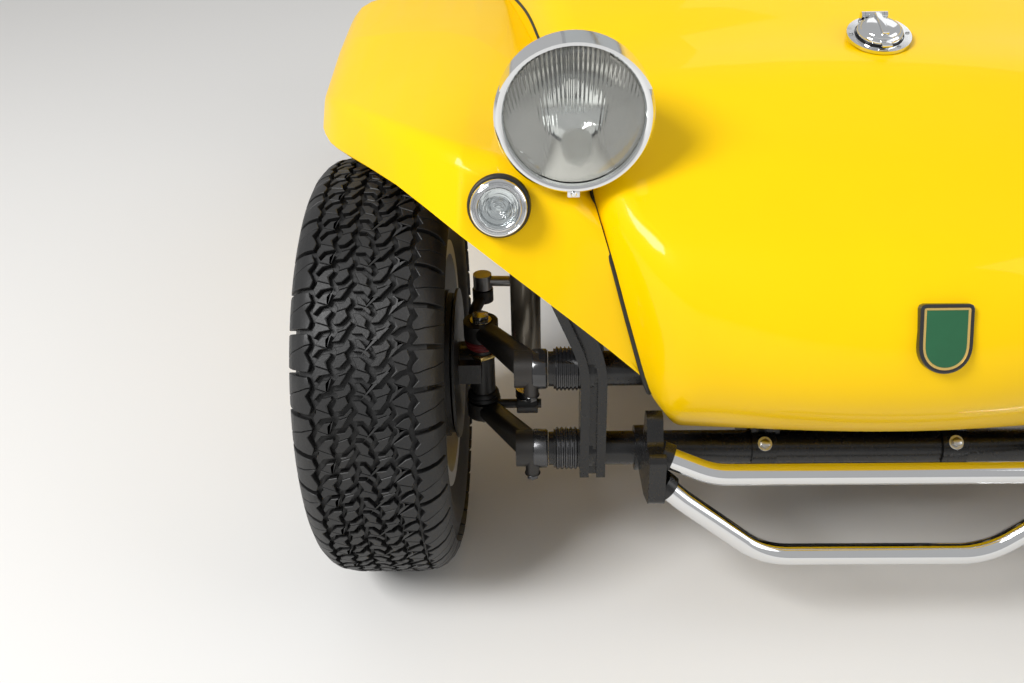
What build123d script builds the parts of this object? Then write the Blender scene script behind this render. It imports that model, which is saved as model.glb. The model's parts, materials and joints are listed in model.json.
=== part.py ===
from build123d import *
import os
from math import atan2, cos, hypot, radians, sin, tan

# A two-seat dune buggy: an open moulded body with bolted-on wings over a short platform frame,
# a twin-tube front axle, swing axles and an air-cooled flat-four behind the rear wheels.
# +X is the vehicle's left, the nose points to -Y and Z = 0 is the ground. Millimetres.

# Overall places
WHEELBASE = 2040.0
FRONT_AXLE_Y = -1250.0
REAR_AXLE_Y = FRONT_AXLE_Y + WHEELBASE
TAIL_Y = 1642.0  # rearmost bar
PANEL = 7.0  # moulded panel thickness
SEAT_GAP = 0.4  # clearance between pieces that seat on one another

# Wheels: half track, tyre radius, tyre width, rim width
FRONT_WHEEL = dict(x=742.0, y=FRONT_AXLE_Y, r=346.0, w=214.0, rim_w=160.0, hub=-50.0)
REAR_WHEEL = dict(x=738.0, y=REAR_AXLE_Y, r=374.0, w=256.0, rim_w=204.0, hub=-22.0)
RIM_R = 190.5  # bead seat of a fifteen-inch rim
RIM_WALL = 6.0
WHEEL_SLOTS = 8
HUB_R = 32.0
AXLE_R = 16.0
WHEEL_BOLT_R = 57.0
RUNNING = 0.05  # radial clearance of a shaft that turns in its bore

# Front axle
BEAM_Y = FRONT_AXLE_Y - 145.0
LOWER_TUBE_Z = 272.0
UPPER_TUBE_Z = LOWER_TUBE_Z + 150.0
TUBE_R = 27.0
TOWER_X = 417.0
TUBE_END_X = 486.0
ARM_ROOT_X = 512.0
KING_X = 596.0
LOWER_BALL = (KING_X, FRONT_AXLE_Y, 258.0)
UPPER_BALL = (KING_X, FRONT_AXLE_Y, 412.0)
STUD_R = 11.0
FRONT_SHOCK_X = 521.0

# Steering
STEER_ARM = 95.0
STEER_ARM_Z = 452.0
DROP_ARM_X = 300.0
WHEEL_HUB = (DROP_ARM_X, -270.0, 835.0)
STEERING_WHEEL_R = 175.0

# Rear torsion bar housing
TORSION_Y, TORSION_Z = 518.0, 300.0

# Body
HOOD_SEAM_T = 0.4
FLOOR_Z = 205.0


def cylinder(start, end, radius):
    """A round bar from one point to another."""
    a, b = Vector(*start), Vector(*end)
    plane = Plane(origin=a, z_dir=b - a)
    return Solid.extrude(Face(Wire(Edge.make_circle(radius, plane))), b - a)


def ring(start, end, radius, bore):
    """A round tube from one point to another."""
    return cylinder(start, end, radius) - cylinder(start, end, bore)


def block(low, high):
    """An upright box between two corners."""
    size = [h - l for l, h in zip(low, high)]
    middle = [(h + l) / 2 for l, h in zip(low, high)]
    return Pos(*middle) * Box(*size)


def bent_bar(points, radius, bend):
    """A round bar along straight runs joined by bends."""
    path = FilletPolyline(*points, radius=bend) if len(points) > 2 else Line(*points)
    start = Plane(origin=path @ 0, z_dir=path % 0)
    return sweep(start * Circle(radius), path=path)


def spin_x(profile, centre):
    """Revolves (x, r) points about the lateral axis through centre."""
    face = make_face(Polyline(*[(x, 0, r) for x, r in profile], close=True))
    return Pos(*centre) * revolve(face, Axis.X)


def both(shape):
    """A piece and its mirror image on the other side."""
    return Compound([*shape.solids(), *shape.mirror(Plane.YZ).solids()])


def side(shape, sign):
    """A left-hand piece as it is, or mirrored to the right."""
    return shape if sign > 0 else shape.mirror(Plane.YZ)


def inward(points, thickness):
    """Offsets an open outline to its right-hand side, so that a thin wall has one thickness."""
    moved = []
    for i, (a, b) in enumerate(points):
        before = points[i - 1] if i > 0 else None
        after = points[i + 1] if i + 1 < len(points) else None
        normals = []
        for p, q in ((before, (a, b)), ((a, b), after)):
            if p and q:
                run = hypot(q[0] - p[0], q[1] - p[1])
                normals.append(((q[1] - p[1]) / run, -(q[0] - p[0]) / run))
        if len(normals) == 1:
            nx, ny = normals[0]
            moved.append((a + nx * thickness, b + ny * thickness))
        else:
            (ax, ay), (bx, by) = normals
            share = thickness / (1 + ax * bx + ay * by)
            moved.append((a + (ax + bx) * share, b + (ay + by) * share))
    return moved


def wall_section(plane, points, radii, thickness):
    """A thin closed section: an outline with rounded corners, and the same outline inset."""
    inner = inward(points, thickness)
    rounds = [max(r - thickness, 2.0) if turn_right(points, i) else r + thickness
              for i, r in enumerate(radii, 1)]
    outer_line = FilletPolyline(*points, radius=radii)
    inner_line = FilletPolyline(*inner, radius=rounds)
    caps = [Line(points[0], inner[0]), Line(points[-1], inner[-1])]
    edges = [*outer_line.edges(), *inner_line.edges(), *[e for c in caps for e in c.edges()]]
    return plane * make_face(edges)


def turn_right(points, i):
    """Whether the outline turns towards its inner side at corner i."""
    (ax, ay), (bx, by), (cx, cy) = points[i - 1], points[i], points[i + 1]
    return (bx - ax) * (cy - by) - (by - ay) * (cx - bx) < 0


def section_at_x(x):
    """The plane across the vehicle at x, with local (u, v) = (y, z)."""
    return Plane(origin=(x, 0, 0), x_dir=(0, 1, 0), z_dir=(1, 0, 0))


# Wheels


def tyre(wheel):
    """A hollow tyre with square shoulders and a bead on each side."""
    r, w = wheel["r"], wheel["w"] / 2
    bead = wheel["rim_w"] / 2
    outline = [
        (-bead, RIM_R), (-bead - 4, RIM_R + 22), (-w + 3, RIM_R + 55), (-w, (RIM_R + r) / 2),
        (-w + 5, r - 42), (-w + 16, r - 16), (-w + 32, r - 4), (-w * 0.45, r), (w * 0.45, r),
        (w - 32, r - 4), (w - 16, r - 16), (w - 5, r - 42), (w, (RIM_R + r) / 2),
        (w - 3, RIM_R + 55), (bead + 4, RIM_R + 22), (bead, RIM_R), (bead - 14, RIM_R),
        (bead - 10, RIM_R + 30), (w - 14, RIM_R + 60), (w - 12, (RIM_R + r) / 2), (w - 24, r - 32),
        (-w + 24, r - 32), (-w + 12, (RIM_R + r) / 2), (-w + 14, RIM_R + 60),
        (-bead + 10, RIM_R + 30), (-bead + 14, RIM_R),
    ]
    return spin_x(outline, (wheel["x"], wheel["y"], wheel["r"]))


def rim(wheel):
    """A cast wheel: drop-centre barrel, deep slotted face, hub bore, centre cap and wheel bolts."""
    w = wheel["rim_w"] / 2
    h = wheel["hub"]
    seat = RIM_R - SEAT_GAP
    lip = RIM_R + 17
    well = RIM_R - 24
    shape = spin_x([
        (w + 8, lip), (w + 8, lip - 5), (w + 3, seat), (w - 30, seat - 2), (w - 46, well),
        (46 - w, well), (30 - w, seat - 2), (-w - 3, seat), (-w - 8, lip - 5), (-w - 8, lip),
        (-w - 14, lip), (-w - 14, seat - RIM_WALL), (28 - w, seat - RIM_WALL - 4),
        (44 - w, well - RIM_WALL), (w - 44, well - RIM_WALL), (w - 28, seat - RIM_WALL - 4),
        (w + 14, seat - RIM_WALL), (w + 14, lip)], (0, 0, 0))
    shape += spin_x([
        (h + 18, well - 3), (h + 32, well - 3), (h + 28, 122), (h + 14, 78), (h + 14, HUB_R + SEAT_GAP),
        (h, HUB_R + SEAT_GAP), (h, 90), (h + 14, 122)], (0, 0, 0))
    slot = extrude(Plane.YZ.offset(h - 10) * Pos(0, 134) * SlotOverall(56, 26), 60)
    for i in range(WHEEL_SLOTS):
        shape -= Rot(i * 360 / WHEEL_SLOTS, 0, 0) * slot
    shape += spin_x([(h + 14, 40), (h + 48, 38), (h + 54, 28), (h + 56, 0), (h + 52, 0), (h + 50, 26),
                     (h + 44, 34), (h + 14, 34)], (0, 0, 0))
    for i in range(5):
        at = Rot(i * 72, 0, 0) * Pos(h + 13, 0, WHEEL_BOLT_R)
        shape += at * extrude(Plane.YZ * RegularPolygon(10, 6), 16)
    return Pos(wheel["x"], wheel["y"], wheel["r"]) * shape


def brake_drum(wheel):
    """A finned drum that turns with the wheel, open on its inner side, with its hub snout."""
    h = wheel["hub"] - SEAT_GAP
    bore = AXLE_R + RUNNING
    return spin_x([
        (h, HUB_R), (h, 88), (h - 14, 118), (h - 22, 118), (h - 22, 124), (h - 28, 124), (h - 28, 118),
        (h - 36, 118), (h - 36, 124), (h - 42, 124), (h - 42, 118), (h - 50, 118), (h - 50, 112),
        (h - 16, 112), (h - 10, 82), (h - 10, 34), (h - 38, 30), (h - 38, bore), (h + 30, bore),
        (h + 30, HUB_R)], (wheel["x"], wheel["y"], wheel["r"]))


# Front axle and steering


def front_beam():
    """Two torsion tubes joined by pressed towers that carry the dampers' upper ends."""
    shape = None
    for z in (LOWER_TUBE_Z, UPPER_TUBE_Z):
        tube = cylinder((-TUBE_END_X, BEAM_Y, z), (TUBE_END_X, BEAM_Y, z), TUBE_R)
        collars = both(cylinder((TOWER_X, BEAM_Y, z), (TUBE_END_X - 8, BEAM_Y, z), TUBE_R + 4))
        shape = tube + collars if shape is None else shape + tube + collars
    for sign in (1, -1):
        shape += side(tower(), sign)
    for x in (-142, 142):
        clamp = block((x - 20, BEAM_Y - 4, LOWER_TUBE_Z - 20), (x + 20, BEAM_Y + 34, UPPER_TUBE_Z + 20))
        shape += clamp
    return shape


TOWER_W, TOWER_D = 40.0, 66.0
TOWER_WALL = 5.0


def tower():
    """One pressed channel: upright past both tubes, then curving out and back to the damper eye."""
    line = [(TOWER_X, LOWER_TUBE_Z - 34), (TOWER_X, UPPER_TUBE_Z + 24), (FRONT_SHOCK_X - 12, 668)]
    path = FilletPolyline(*[(x, 0, z) for x, z in line], radius=200)
    start = Plane(origin=path @ 0, x_dir=(1, 0, 0), z_dir=path % 0)
    outline = Rectangle(TOWER_W, TOWER_D) - Pos(0, TOWER_WALL - TOWER_D / 2) * Rectangle(12, 2 * TOWER_WALL)
    hollow = Pos(0, 3 * TOWER_WALL) * Rectangle(TOWER_W - 2 * TOWER_WALL, TOWER_D)
    shape = Pos(0, BEAM_Y, 0) * (sweep(start * outline, path=path) - sweep(start * hollow, path=path))
    top = block((FRONT_SHOCK_X - 34, BEAM_Y - 30, 664), (FRONT_SHOCK_X + 22, FRONT_AXLE_Y + 24, 672))
    gusset = block((FRONT_SHOCK_X - 34, BEAM_Y - 30, 610), (FRONT_SHOCK_X - 29, FRONT_AXLE_Y + 24, 672))
    return shape + top + gusset


def trailing_arm(tube_z, ball, ball_up):
    """One forged arm from the torsion bar's end back and out to its ball joint."""
    root = cylinder((TUBE_END_X + 1, BEAM_Y, tube_z), (ARM_ROOT_X + 26, BEAM_Y, tube_z), 29)
    x, y, z = ball
    eye = cylinder((x, y, z - 15), (x, y, z + 15), 29)
    bore = cylinder((x, y, z - 30), (x, y, z + 30), STUD_R + 9)
    start = Plane(origin=(ARM_ROOT_X, BEAM_Y, tube_z), z_dir=(x - ARM_ROOT_X, y - BEAM_Y, z - tube_z),
                  x_dir=(0, 0, 1))
    end = Plane(origin=(x, y, z), z_dir=(x - ARM_ROOT_X, y - BEAM_Y, z - tube_z), x_dir=(0, 0, 1))
    web = loft([start * RectangleRounded(50, 34, 12), end * RectangleRounded(26, 40, 12)])
    pinch = cylinder((ARM_ROOT_X, BEAM_Y - 18, tube_z - 34), (ARM_ROOT_X, BEAM_Y - 18, tube_z), 11)
    shape = root + web + eye + pinch - bore
    socket_low, socket_high = (z - 12, z + 19) if ball_up else (z - 19, z + 12)
    socket = ring((x, y, socket_low), (x, y, socket_high), STUD_R + 9, STUD_R + 0.5)
    return shape + socket


def front_arms():
    """All four trailing arms."""
    shapes = []
    for tube_z, ball, up in ((LOWER_TUBE_Z, LOWER_BALL, True), (UPPER_TUBE_Z, UPPER_BALL, False)):
        arm = trailing_arm(tube_z, ball, up)
        if tube_z == LOWER_TUBE_Z:
            y, z = FRONT_AXLE_Y - 10, 268
            arm += cylinder((KING_X - 16, y, z), (FRONT_SHOCK_X - 24, y, z), 8)
        shapes += both(arm).solids()
    return Compound(shapes)


def knuckle():
    """The left knuckle: upright with two studs, stub axle, steering arm and backing plate."""
    hub_z = FRONT_WHEEL["r"]
    drum_in = FRONT_WHEEL["x"] + FRONT_WHEEL["hub"] - 50 - SEAT_GAP
    x, y = KING_X, FRONT_AXLE_Y
    shape = cylinder((x, y, LOWER_BALL[2] - 24), (x, y, UPPER_BALL[2] + 24), STUD_R)
    shape += cylinder((x, y, LOWER_BALL[2] + 24), (x, y, UPPER_BALL[2] - 24), 21)
    shape += cylinder((x, y, hub_z), (drum_in + 12 - 1, y, hub_z), 28)
    shape += cylinder((x, y, hub_z), (drum_in + 92, y, hub_z), AXLE_R)
    shape += cylinder((drum_in - 8, y, hub_z), (drum_in - 4, y, hub_z), 126)
    shape += block((x, y - 40, hub_z - 18), (drum_in - 6, y + 40, hub_z + 18))
    joint = (x, y + STEER_ARM, STEER_ARM_Z - 26)
    shape += bent_bar([(x + 14, y + 14, hub_z + 4), (x + 14, y + 60, STEER_ARM_Z - 40), joint], 10, 14)
    shape += cylinder((x, joint[1], joint[2] - 11), (x, joint[1], joint[2] + 11), 18)
    return shape - cylinder((x, joint[1], joint[2] - 30), (x, joint[1], joint[2] + 30), 8 + RUNNING)


def tie_rod(sign):
    """A tie rod from the drop arm to a knuckle, with a ball end on each."""
    y = FRONT_AXLE_Y + STEER_ARM
    far_x = sign * KING_X
    near_z = STEER_ARM_Z + 22 * sign
    shape = cylinder((DROP_ARM_X, y, near_z), (far_x, y, STEER_ARM_Z), 9)
    shape += cylinder((DROP_ARM_X, y, near_z - 13), (DROP_ARM_X, y, near_z + 13), 16)
    shape += cylinder((DROP_ARM_X, y, STEER_ARM_Z + 0.5 * sign), (DROP_ARM_X, y, near_z), 7)
    shape += cylinder((far_x, y, STEER_ARM_Z - 13), (far_x, y, STEER_ARM_Z + 13), 16)
    return shape + cylinder((far_x, y, STEER_ARM_Z - 42), (far_x, y, STEER_ARM_Z), 8)


def drop_arm():
    """The arm on the steering box's sector shaft that moves both tie rods."""
    x, y = DROP_ARM_X, FRONT_AXLE_Y
    arm = block((x - 13, y, STEER_ARM_Z - 8), (x + 13, y + STEER_ARM, STEER_ARM_Z + 8))
    arm += cylinder((x, y, STEER_ARM_Z - 14), (x, y, STEER_ARM_Z + 14), 24)
    arm += cylinder((x, y + STEER_ARM, STEER_ARM_Z - 8), (x, y + STEER_ARM, STEER_ARM_Z + 8), 17)
    arm -= cylinder((x, y + STEER_ARM, STEER_ARM_Z - 30), (x, y + STEER_ARM, STEER_ARM_Z + 30), 7 + RUNNING)
    return arm + cylinder((x, y, STEER_ARM_Z), (x, y, STEER_ARM_Z + 60), 12)


def steering_box():
    """The gear housing clamped to the upper tube, with the drop arm's shaft below it."""
    x, y = DROP_ARM_X, FRONT_AXLE_Y
    shape = block((x - 36, y - 40, STEER_ARM_Z + 20), (x + 36, y + 40, STEER_ARM_Z + 84))
    shape += cylinder((x, y, STEER_ARM_Z + 20), (x, y, STEER_ARM_Z + 96), 34)
    shape += block((x - 20, BEAM_Y + 10, UPPER_TUBE_Z + 32), (x + 20, y - 30, UPPER_TUBE_Z + 76))
    shape += block((x - 26, BEAM_Y - 32, UPPER_TUBE_Z - 36), (x + 26, BEAM_Y + 32, UPPER_TUBE_Z + 40))
    shape -= cylinder((x - 60, BEAM_Y, UPPER_TUBE_Z), (x + 60, BEAM_Y, UPPER_TUBE_Z), TUBE_R + SEAT_GAP)
    return shape - cylinder((x, y, STEER_ARM_Z), (x, y, STEER_ARM_Z + 62), 12 + RUNNING)


def column_line():
    """The direction from the box to the steering wheel."""
    start = Vector(DROP_ARM_X, FRONT_AXLE_Y + 30, STEER_ARM_Z + 60)
    hub = Vector(*WHEEL_HUB)
    return start, hub, (hub - start).normalized()


def steering_column():
    """The column's outer tube, from the box to just below the wheel."""
    start, hub, along = column_line()
    tube = ring(tuple(start + along * 60), tuple(hub - along * 40), 19, 10 + RUNNING)
    stalk_at = hub - along * 70
    stalk = cylinder(tuple(stalk_at), tuple(stalk_at + Vector(-120, 10, 20)), 5)
    return tube + (stalk - cylinder(tuple(start), tuple(hub), 14))


def steering_wheel():
    """A thick-rimmed wheel with three flat spokes, turning with the column's inner shaft."""
    start, hub, along = column_line()
    plane = Plane(origin=hub, x_dir=(1, 0, 0), z_dir=along)
    shape = plane * Torus(STEERING_WHEEL_R, 14)
    shape += plane * Pos(0, 0, -8) * Cylinder(36, 46)
    shape += plane * Pos(0, 0, 16) * Cylinder(44, 12)
    for angle in (0, 120, 240):
        spoke = Pos(STEERING_WHEEL_R / 2, 0, 0) * Box(STEERING_WHEEL_R - 6, 34, 5)
        holes = [Pos(x, 0, 0) * Cylinder(8, 20) for x in (72, 102, 130)]
        for hole in holes:
            spoke -= hole
        shape += plane * Rot(0, 0, 210 + angle) * spoke
    return shape + cylinder(tuple(start + along * 70), tuple(hub), 10)


# Bodywork


def fan_plane(pivot, angle, x=0.0):
    """A plane through the lateral axis at pivot; its local v points forward at 0 and up at 90."""
    v = (0, -cos(radians(angle)), sin(radians(angle)))
    return Plane(origin=(x, pivot[0], pivot[1]), x_dir=(1, 0, 0), z_dir=(0, -v[2], v[1]))


def crown(half, seam_r, centre_r, flange):
    """A crowned section that reaches centre_r in the middle, with a flange below each seam."""
    rise = (centre_r - seam_r) / 0.56
    points = [(-half, seam_r - flange), (-half, seam_r), (0, seam_r + rise), (half, seam_r),
              (half, seam_r - flange)]
    reach = 0.86 * hypot(half, rise) / tan(max(atan2(rise, half), 0.05))
    return points, [44.0, reach, 44.0]


def hood_crown(half, seam_r, centre_r, flange, depth):
    """A crowned section with a shoulder above each seam and a flange below it."""
    shoulder = half - SHOULDER_LEAN * depth
    rise = (centre_r - seam_r - depth) / 0.66
    turn = seam_r + depth
    points = [(-half, seam_r - flange), (-half, seam_r), (-shoulder, turn), (0, turn + rise), (shoulder, turn),
              (half, seam_r), (half, seam_r - flange)]
    slope = atan2(rise, shoulder)
    reach = 0.7 * hypot(shoulder, rise) / tan(max(slope, 0.01))
    corner = 0.55 * hypot(half - shoulder, depth) / tan((atan2(depth, half - shoulder) - slope) / 2)
    return points, [4.0, corner, reach, corner, 4.0]


HOOD_PIVOT_Z = 540.0
NECK_R, FLANGE_R, CAP_R = 26.0, 46.0, 33.0  # fuel filler
SHOULDER_LEAN = 0.62  # how far a shoulder lies inside its seam, for its height
# Fan pivot behind the axle, fan angle, half width at the seam, seam radius, centre radius, flange and shoulder
HOOD = [
    (50, -42, 300, 288, 308, 14, 14), (50, -31, 318, 298, 336, 22, 24), (50, -18, 345, 300, 378, 32, 44),
    (50, 0, 372, 288, 430, 46, 72), (50, 19, 398, 288, 404, 46, 72), (50, 36, 422, 284, 340, 46, 38),
    (50, 62, 444, 256, 305, 46, 33), (50, 90, 466, 256, 321, 46, 38), (200, 90, 492, 290, 365, 46, 44),
    (350, 90, 520, 312, 398, 46, 44), (620, 90, 580, 310, 426, 46, 30),
]


def between(rows, steps):
    """Adds rows between the given ones so that each column follows a smooth curve."""
    filled = []
    last = len(rows) - 1
    for i in range(last):
        corners = zip(rows[max(i - 1, 0)], rows[i], rows[i + 1], rows[min(i + 2, last)])
        corners = list(corners)
        for k in range(steps):
            t = k / steps
            filled.append(tuple(
                0.5 * (2 * b + (c - a) * t + (2 * a - 5 * b + 4 * c - d) * t ** 2
                       + (3 * b - a - 3 * c + d) * t ** 3) for a, b, c, d in corners))
    return [*filled, tuple(rows[last])]


def ribs(sections):
    """A loft with straight runs between closely spaced sections."""
    return loft([s.face() if not isinstance(s, Face) else s for s in sections], ruled=True)


def nose_hood():
    """The one-piece nose and hood, rolling under at the front with a notch over the axle."""
    sections = []
    for pivot, angle, half, seam_r, centre_r, flange, depth in between(HOOD, 4):
        plane = fan_plane((FRONT_AXLE_Y + pivot, HOOD_PIVOT_Z), angle)
        points, radii = hood_crown(half, seam_r, centre_r, flange, depth)
        sections.append(wall_section(plane, points, radii, PANEL))
    notch = block((-204, FRONT_AXLE_Y - 260, 300), (204, FRONT_AXLE_Y - 100, 352))
    rest = ribs(sections) - notch - filler_plane() * Cylinder(NECK_R + SEAT_GAP, 60) - screen_slab(SEAT_GAP)
    return max(rest.solids(), key=lambda part: part.volume)


def nose_body(first, last):
    """The filled space under part of the hood's skin, for seating what stands on it."""
    sections = []
    for pivot, angle, half, seam_r, centre_r, flange, depth in between(HOOD, 4)[first:last]:
        plane = fan_plane((FRONT_AXLE_Y + pivot, HOOD_PIVOT_Z), angle)
        points, radii = hood_crown(half, seam_r + SEAT_GAP, centre_r + SEAT_GAP, flange, depth)
        line = FilletPolyline(*points, radius=radii)
        sections.append(plane * make_face([*line.edges(), *Line(points[-1], points[0]).edges()]))
    return ribs(sections)


def hood_flank():
    """A solid as wide as the hood plus the seam, for cutting the wings' inner ends."""
    sections = []
    for pivot, angle, half, seam_r, *_ in between(HOOD, 4):
        plane = fan_plane((FRONT_AXLE_Y + pivot, HOOD_PIVOT_Z), angle)
        edge, reach = half + HOOD_SEAM_T, seam_r + 90
        sections.append(plane * Polyline((0, 20), (edge, 20), (edge, reach), (0, reach), close=True))
    return ribs([make_face(outline) for outline in sections])


# X, then (distance behind the axle, Z) of the front edge, crease, top, rear shoulder and rear lower end
FRONT_FENDER = [
    (310, -235, 422, -226, 560, -120, 660, 0, 690, 60, 690),
    (400, -236, 508, -216, 684, 60, 745, 330, 780, 420, 760),
    (500, -236, 597, -196, 752, 120, 796, 540, 836, 620, 760),
    (602, -226, 682, -172, 784, 240, 830, 576, 850, 640, 620),
    (700, -112, 712, -70, 782, 300, 828, 586, 850, 648, 560),
    (790, 36, 702, 84, 764, 340, 812, 592, 838, 652, 530),
    (838, 128, 694, 176, 750, 400, 793, 600, 820, 654, 516),
    (862, 200, 694, 240, 732, 420, 766, 604, 788, 654, 510),
]
# X, then front lower end, front shoulder, top, rear shoulder and rear lower end
REAR_FENDER = [
    (588.4, -420, 470, -330, 800, 60, 846, 330, 800, 396, 640),
    (740, -420, 466, -330, 796, 60, 842, 330, 796, 396, 640),
    (840, -418, 462, -322, 780, 60, 826, 320, 780, 392, 640),
    (882, -414, 458, -310, 744, 60, 786, 306, 744, 386, 638),
]


def wing(rows, axle_y, radii):
    """A thin wing shell through sections across X."""
    sections = []
    for x, *flat in between(rows, 2):
        points = [(axle_y + dy, z) for dy, z in zip(flat[::2], flat[1::2])]
        sections.append(wall_section(section_at_x(x), points, radii, PANEL))
    return ribs(sections)


def front_fender():
    """The left front wing, cut to the hood's flank."""
    rest = wing(FRONT_FENDER, FRONT_AXLE_Y, [46.0, 90.0, 50.0]) - hood_flank() - tub_flank()
    rest -= lamp_foot(SEAT_GAP, 40)
    return max(rest.solids(), key=lambda part: part.volume)


def rear_fender():
    """The left rear wing, bolted to the tub's flank."""
    return wing(REAR_FENDER, REAR_AXLE_Y, [90.0, 260.0, 110.0])


# Cockpit tub: Y, half width at the top, half width at the floor
TUB = [(-700, 584, 500), (-460, 640, 540), (-60, 652, 556), (250, 632, 548), (420, 594, 540), (560, 590, 540)]
TUB_TOP = 900.0
TUNNEL_Z = 296.0
TUB_END_Y = 440.0
TUB_FLOOR = FLOOR_Z + 12.0
# Side profile of the tub's edge: (Y, z)
TUB_EDGE = [(-720, 852), (-640, 846), (-560, 700), (-440, 626), (60, 600), (260, 640), (390, 800), (580, 846)]
# Rear deck: Y, half width, shoulder height, centre height
DECK = [(446, 588, 800, 870), (620, 588, 812, 880), (900, 584, 806, 868), (1080, 566, 780, 836),
        (1170, 540, 742, 796)]
DECK_SIDE = 190.0


def cross_plane(y):
    """The plane across the vehicle at y, with local (u, v) = (x, z)."""
    return Plane(origin=(0, y, 0), x_dir=(1, 0, 0), z_dir=(0, -1, 0))


def tub_outline(y, inset=0.0):
    """The tub's cross-section outline at y, from one top edge round to the other."""
    for (y0, top0, low0), (y1, top1, low1) in zip(TUB, TUB[1:]):
        if y0 <= y <= y1:
            t = (y - y0) / (y1 - y0)
            top, low = top0 + t * (top1 - top0), low0 + t * (low1 - low0)
            top, low, floor = top - inset, low - inset, TUB_FLOOR + inset
            return [(-top, TUB_TOP), (-low, floor), (low, floor), (top, TUB_TOP)]


def tub_flank():
    """A solid as wide as the front of the tub plus the seam, for cutting the wings' rear ends."""
    faces = []
    for y in (TUB[0][0], TUB[1][0]):
        points = tub_outline(y, -SEAT_GAP)
        faces.append(cross_plane(y) * make_face(Polyline(*points, close=True)))
    return ribs(faces)


def bulkhead(y, depth, top, inset):
    """A flat wall that fills the tub's cross-section up to the height top."""
    points = tub_outline(y, inset)
    outline = FilletPolyline(*points, radius=[70.0 - inset, 70.0 - inset])
    face = make_face([*outline.edges(), *Line(points[-1], points[0]).edges()])
    wall = extrude(cross_plane(y) * face, -depth)
    return wall - block((-700, y - 50, top), (700, y + depth + 50, 1000))


def body_tub():
    """The cockpit tub: thin floor and sides, a scalloped edge, a bulkhead in front and one behind."""
    sections = [wall_section(cross_plane(y), tub_outline(y), [70.0, 70.0], -PANEL)
                for y, *_ in between(TUB, 2) if y < TUB[-1][0]]
    end = TUB[-1][0] - 1
    sections.append(wall_section(cross_plane(end), tub_outline(end), [70.0, 70.0], -PANEL))
    shell = ribs(sections)
    edge = FilletPolyline(*[(y, z) for y, z in TUB_EDGE], radius=60.0)
    first, last = TUB_EDGE[0], TUB_EDGE[-1]
    over = Polyline((last[0], last[1]), (last[0], 1000), (first[0], 1000), (first[0], first[1]))
    shell -= extrude(section_at_x(-800) * make_face([*edge.edges(), *over.edges()]), 1600)
    front = bulkhead(TUB[0][0], PANEL, 800, 2.0)
    start, hub, along = column_line()
    front -= cylinder(tuple(start), tuple(hub), 19 + SEAT_GAP)
    rear = bulkhead(430, PANEL, 790, 2.0)
    hump = block((-68, TUB[0][0], TUB_FLOOR), (68, 434, TUNNEL_Z + 8))
    under = block((-60.4, -760, FLOOR_Z - 10), (60.4, 424, TUNNEL_Z + SEAT_GAP))
    behind = block((-700, TUB_END_Y, 150), (700, 700, 1000))
    return shell + front + rear + hump - under - behind


def deck_body():
    """The filled space under the rear deck's skin, for seating what stands on it."""
    sections = []
    for y, half, shoulder, centre in between(DECK, 2):
        points, radii = crown(half, shoulder + SEAT_GAP, centre + SEAT_GAP, DECK_SIDE)
        line = FilletPolyline(*points, radius=radii)
        sections.append(cross_plane(y) * make_face([*line.edges(), *Line(points[-1], points[0]).edges()]))
    return ribs(sections)


def rear_deck():
    """The crowned deck behind the seats, with sides down beside the tyres and an open tail."""
    sections = []
    for y, half, shoulder, centre in between(DECK, 2):
        points, radii = crown(half, shoulder, centre, DECK_SIDE)
        sections.append(wall_section(cross_plane(y), points, radii, PANEL))
    shape = ribs(sections) - block((-270, 1000, 500), (270, 1300, 1000))
    for x in (-HOOP_X, HOOP_X):
        shape -= cylinder((x, HOOP_Y, 600), (x, HOOP_Y, 1000), HOOP_R + SEAT_GAP)
    return shape


def dashboard():
    """A flat dash across the cowl with a curved lower edge and round gauges."""
    y = -610.0
    low = [(-589, 838), (-574, 722), (-300, 690), (300, 690), (574, 722), (589, 838)]
    line = FilletPolyline(*low, radius=30.0)
    top = ThreePointArc((589, 838), (0, 918), (-589, 838))
    shape = extrude(cross_plane(y) * make_face([*line.edges(), *top.edges()]), -16)
    for x, z, r in ((300, 800, 56), (168, 790, 28), (100, 790, 28), (430, 790, 28)):
        shape += cylinder((x, y + 16, z), (x, y + 26, z), r) - cylinder((x, y + 22, z), (x, y + 30, z), r - 7)
    for x in (20, -40, -100):
        shape += cylinder((x, y + 16, 790), (x, y + 34, 790), 10)
    start, hub, along = column_line()
    return shape - cylinder(tuple(start), tuple(hub), 19 + SEAT_GAP)


GLASS_Y, GLASS_LEAN = -652.0, 33.0
FRAME_HALF = 12.0  # half the windscreen frame's depth


def screen_plane():
    """The windscreen's plane, leaning back, with v up the glass."""
    up = (0, sin(radians(GLASS_LEAN)), cos(radians(GLASS_LEAN)))
    return Plane(origin=(0, GLASS_Y, 869.6), x_dir=(1, 0, 0), z_dir=(0, -up[2], up[1]))


def screen_outline(inset):
    """The glass outline in the screen's plane, larger or smaller by inset."""
    half, high = 548 - inset, 545 - inset
    corners = [(-half, inset), (-half + 40, high), (half - 40, high), (half, inset)]
    low = FilletPolyline(*corners, radius=60.0 - inset / 2)
    foot = ThreePointArc((half, inset), (0, 112 + inset), (-half, inset))
    return make_face([*low.edges(), *foot.edges()])


def screen_slab(gap):
    """The windscreen frame's outline as a filled slab, grown by a gap."""
    return extrude(screen_plane() * screen_outline(-gap), FRAME_HALF + gap, both=True)


def windshield():
    """The windscreen frame and its flat glass."""
    plane = screen_plane()
    frame = extrude(plane * (screen_outline(0) - screen_outline(24)), FRAME_HALF, both=True)
    groove = extrude(plane * screen_outline(14), 2.5 + SEAT_GAP, both=True)
    glass = extrude(plane * screen_outline(14 + SEAT_GAP), 2.5, both=True)
    return frame - groove, glass


HOOP_X, HOOP_Y, HOOP_R = 498.0, TORSION_Y, 24.0


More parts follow.
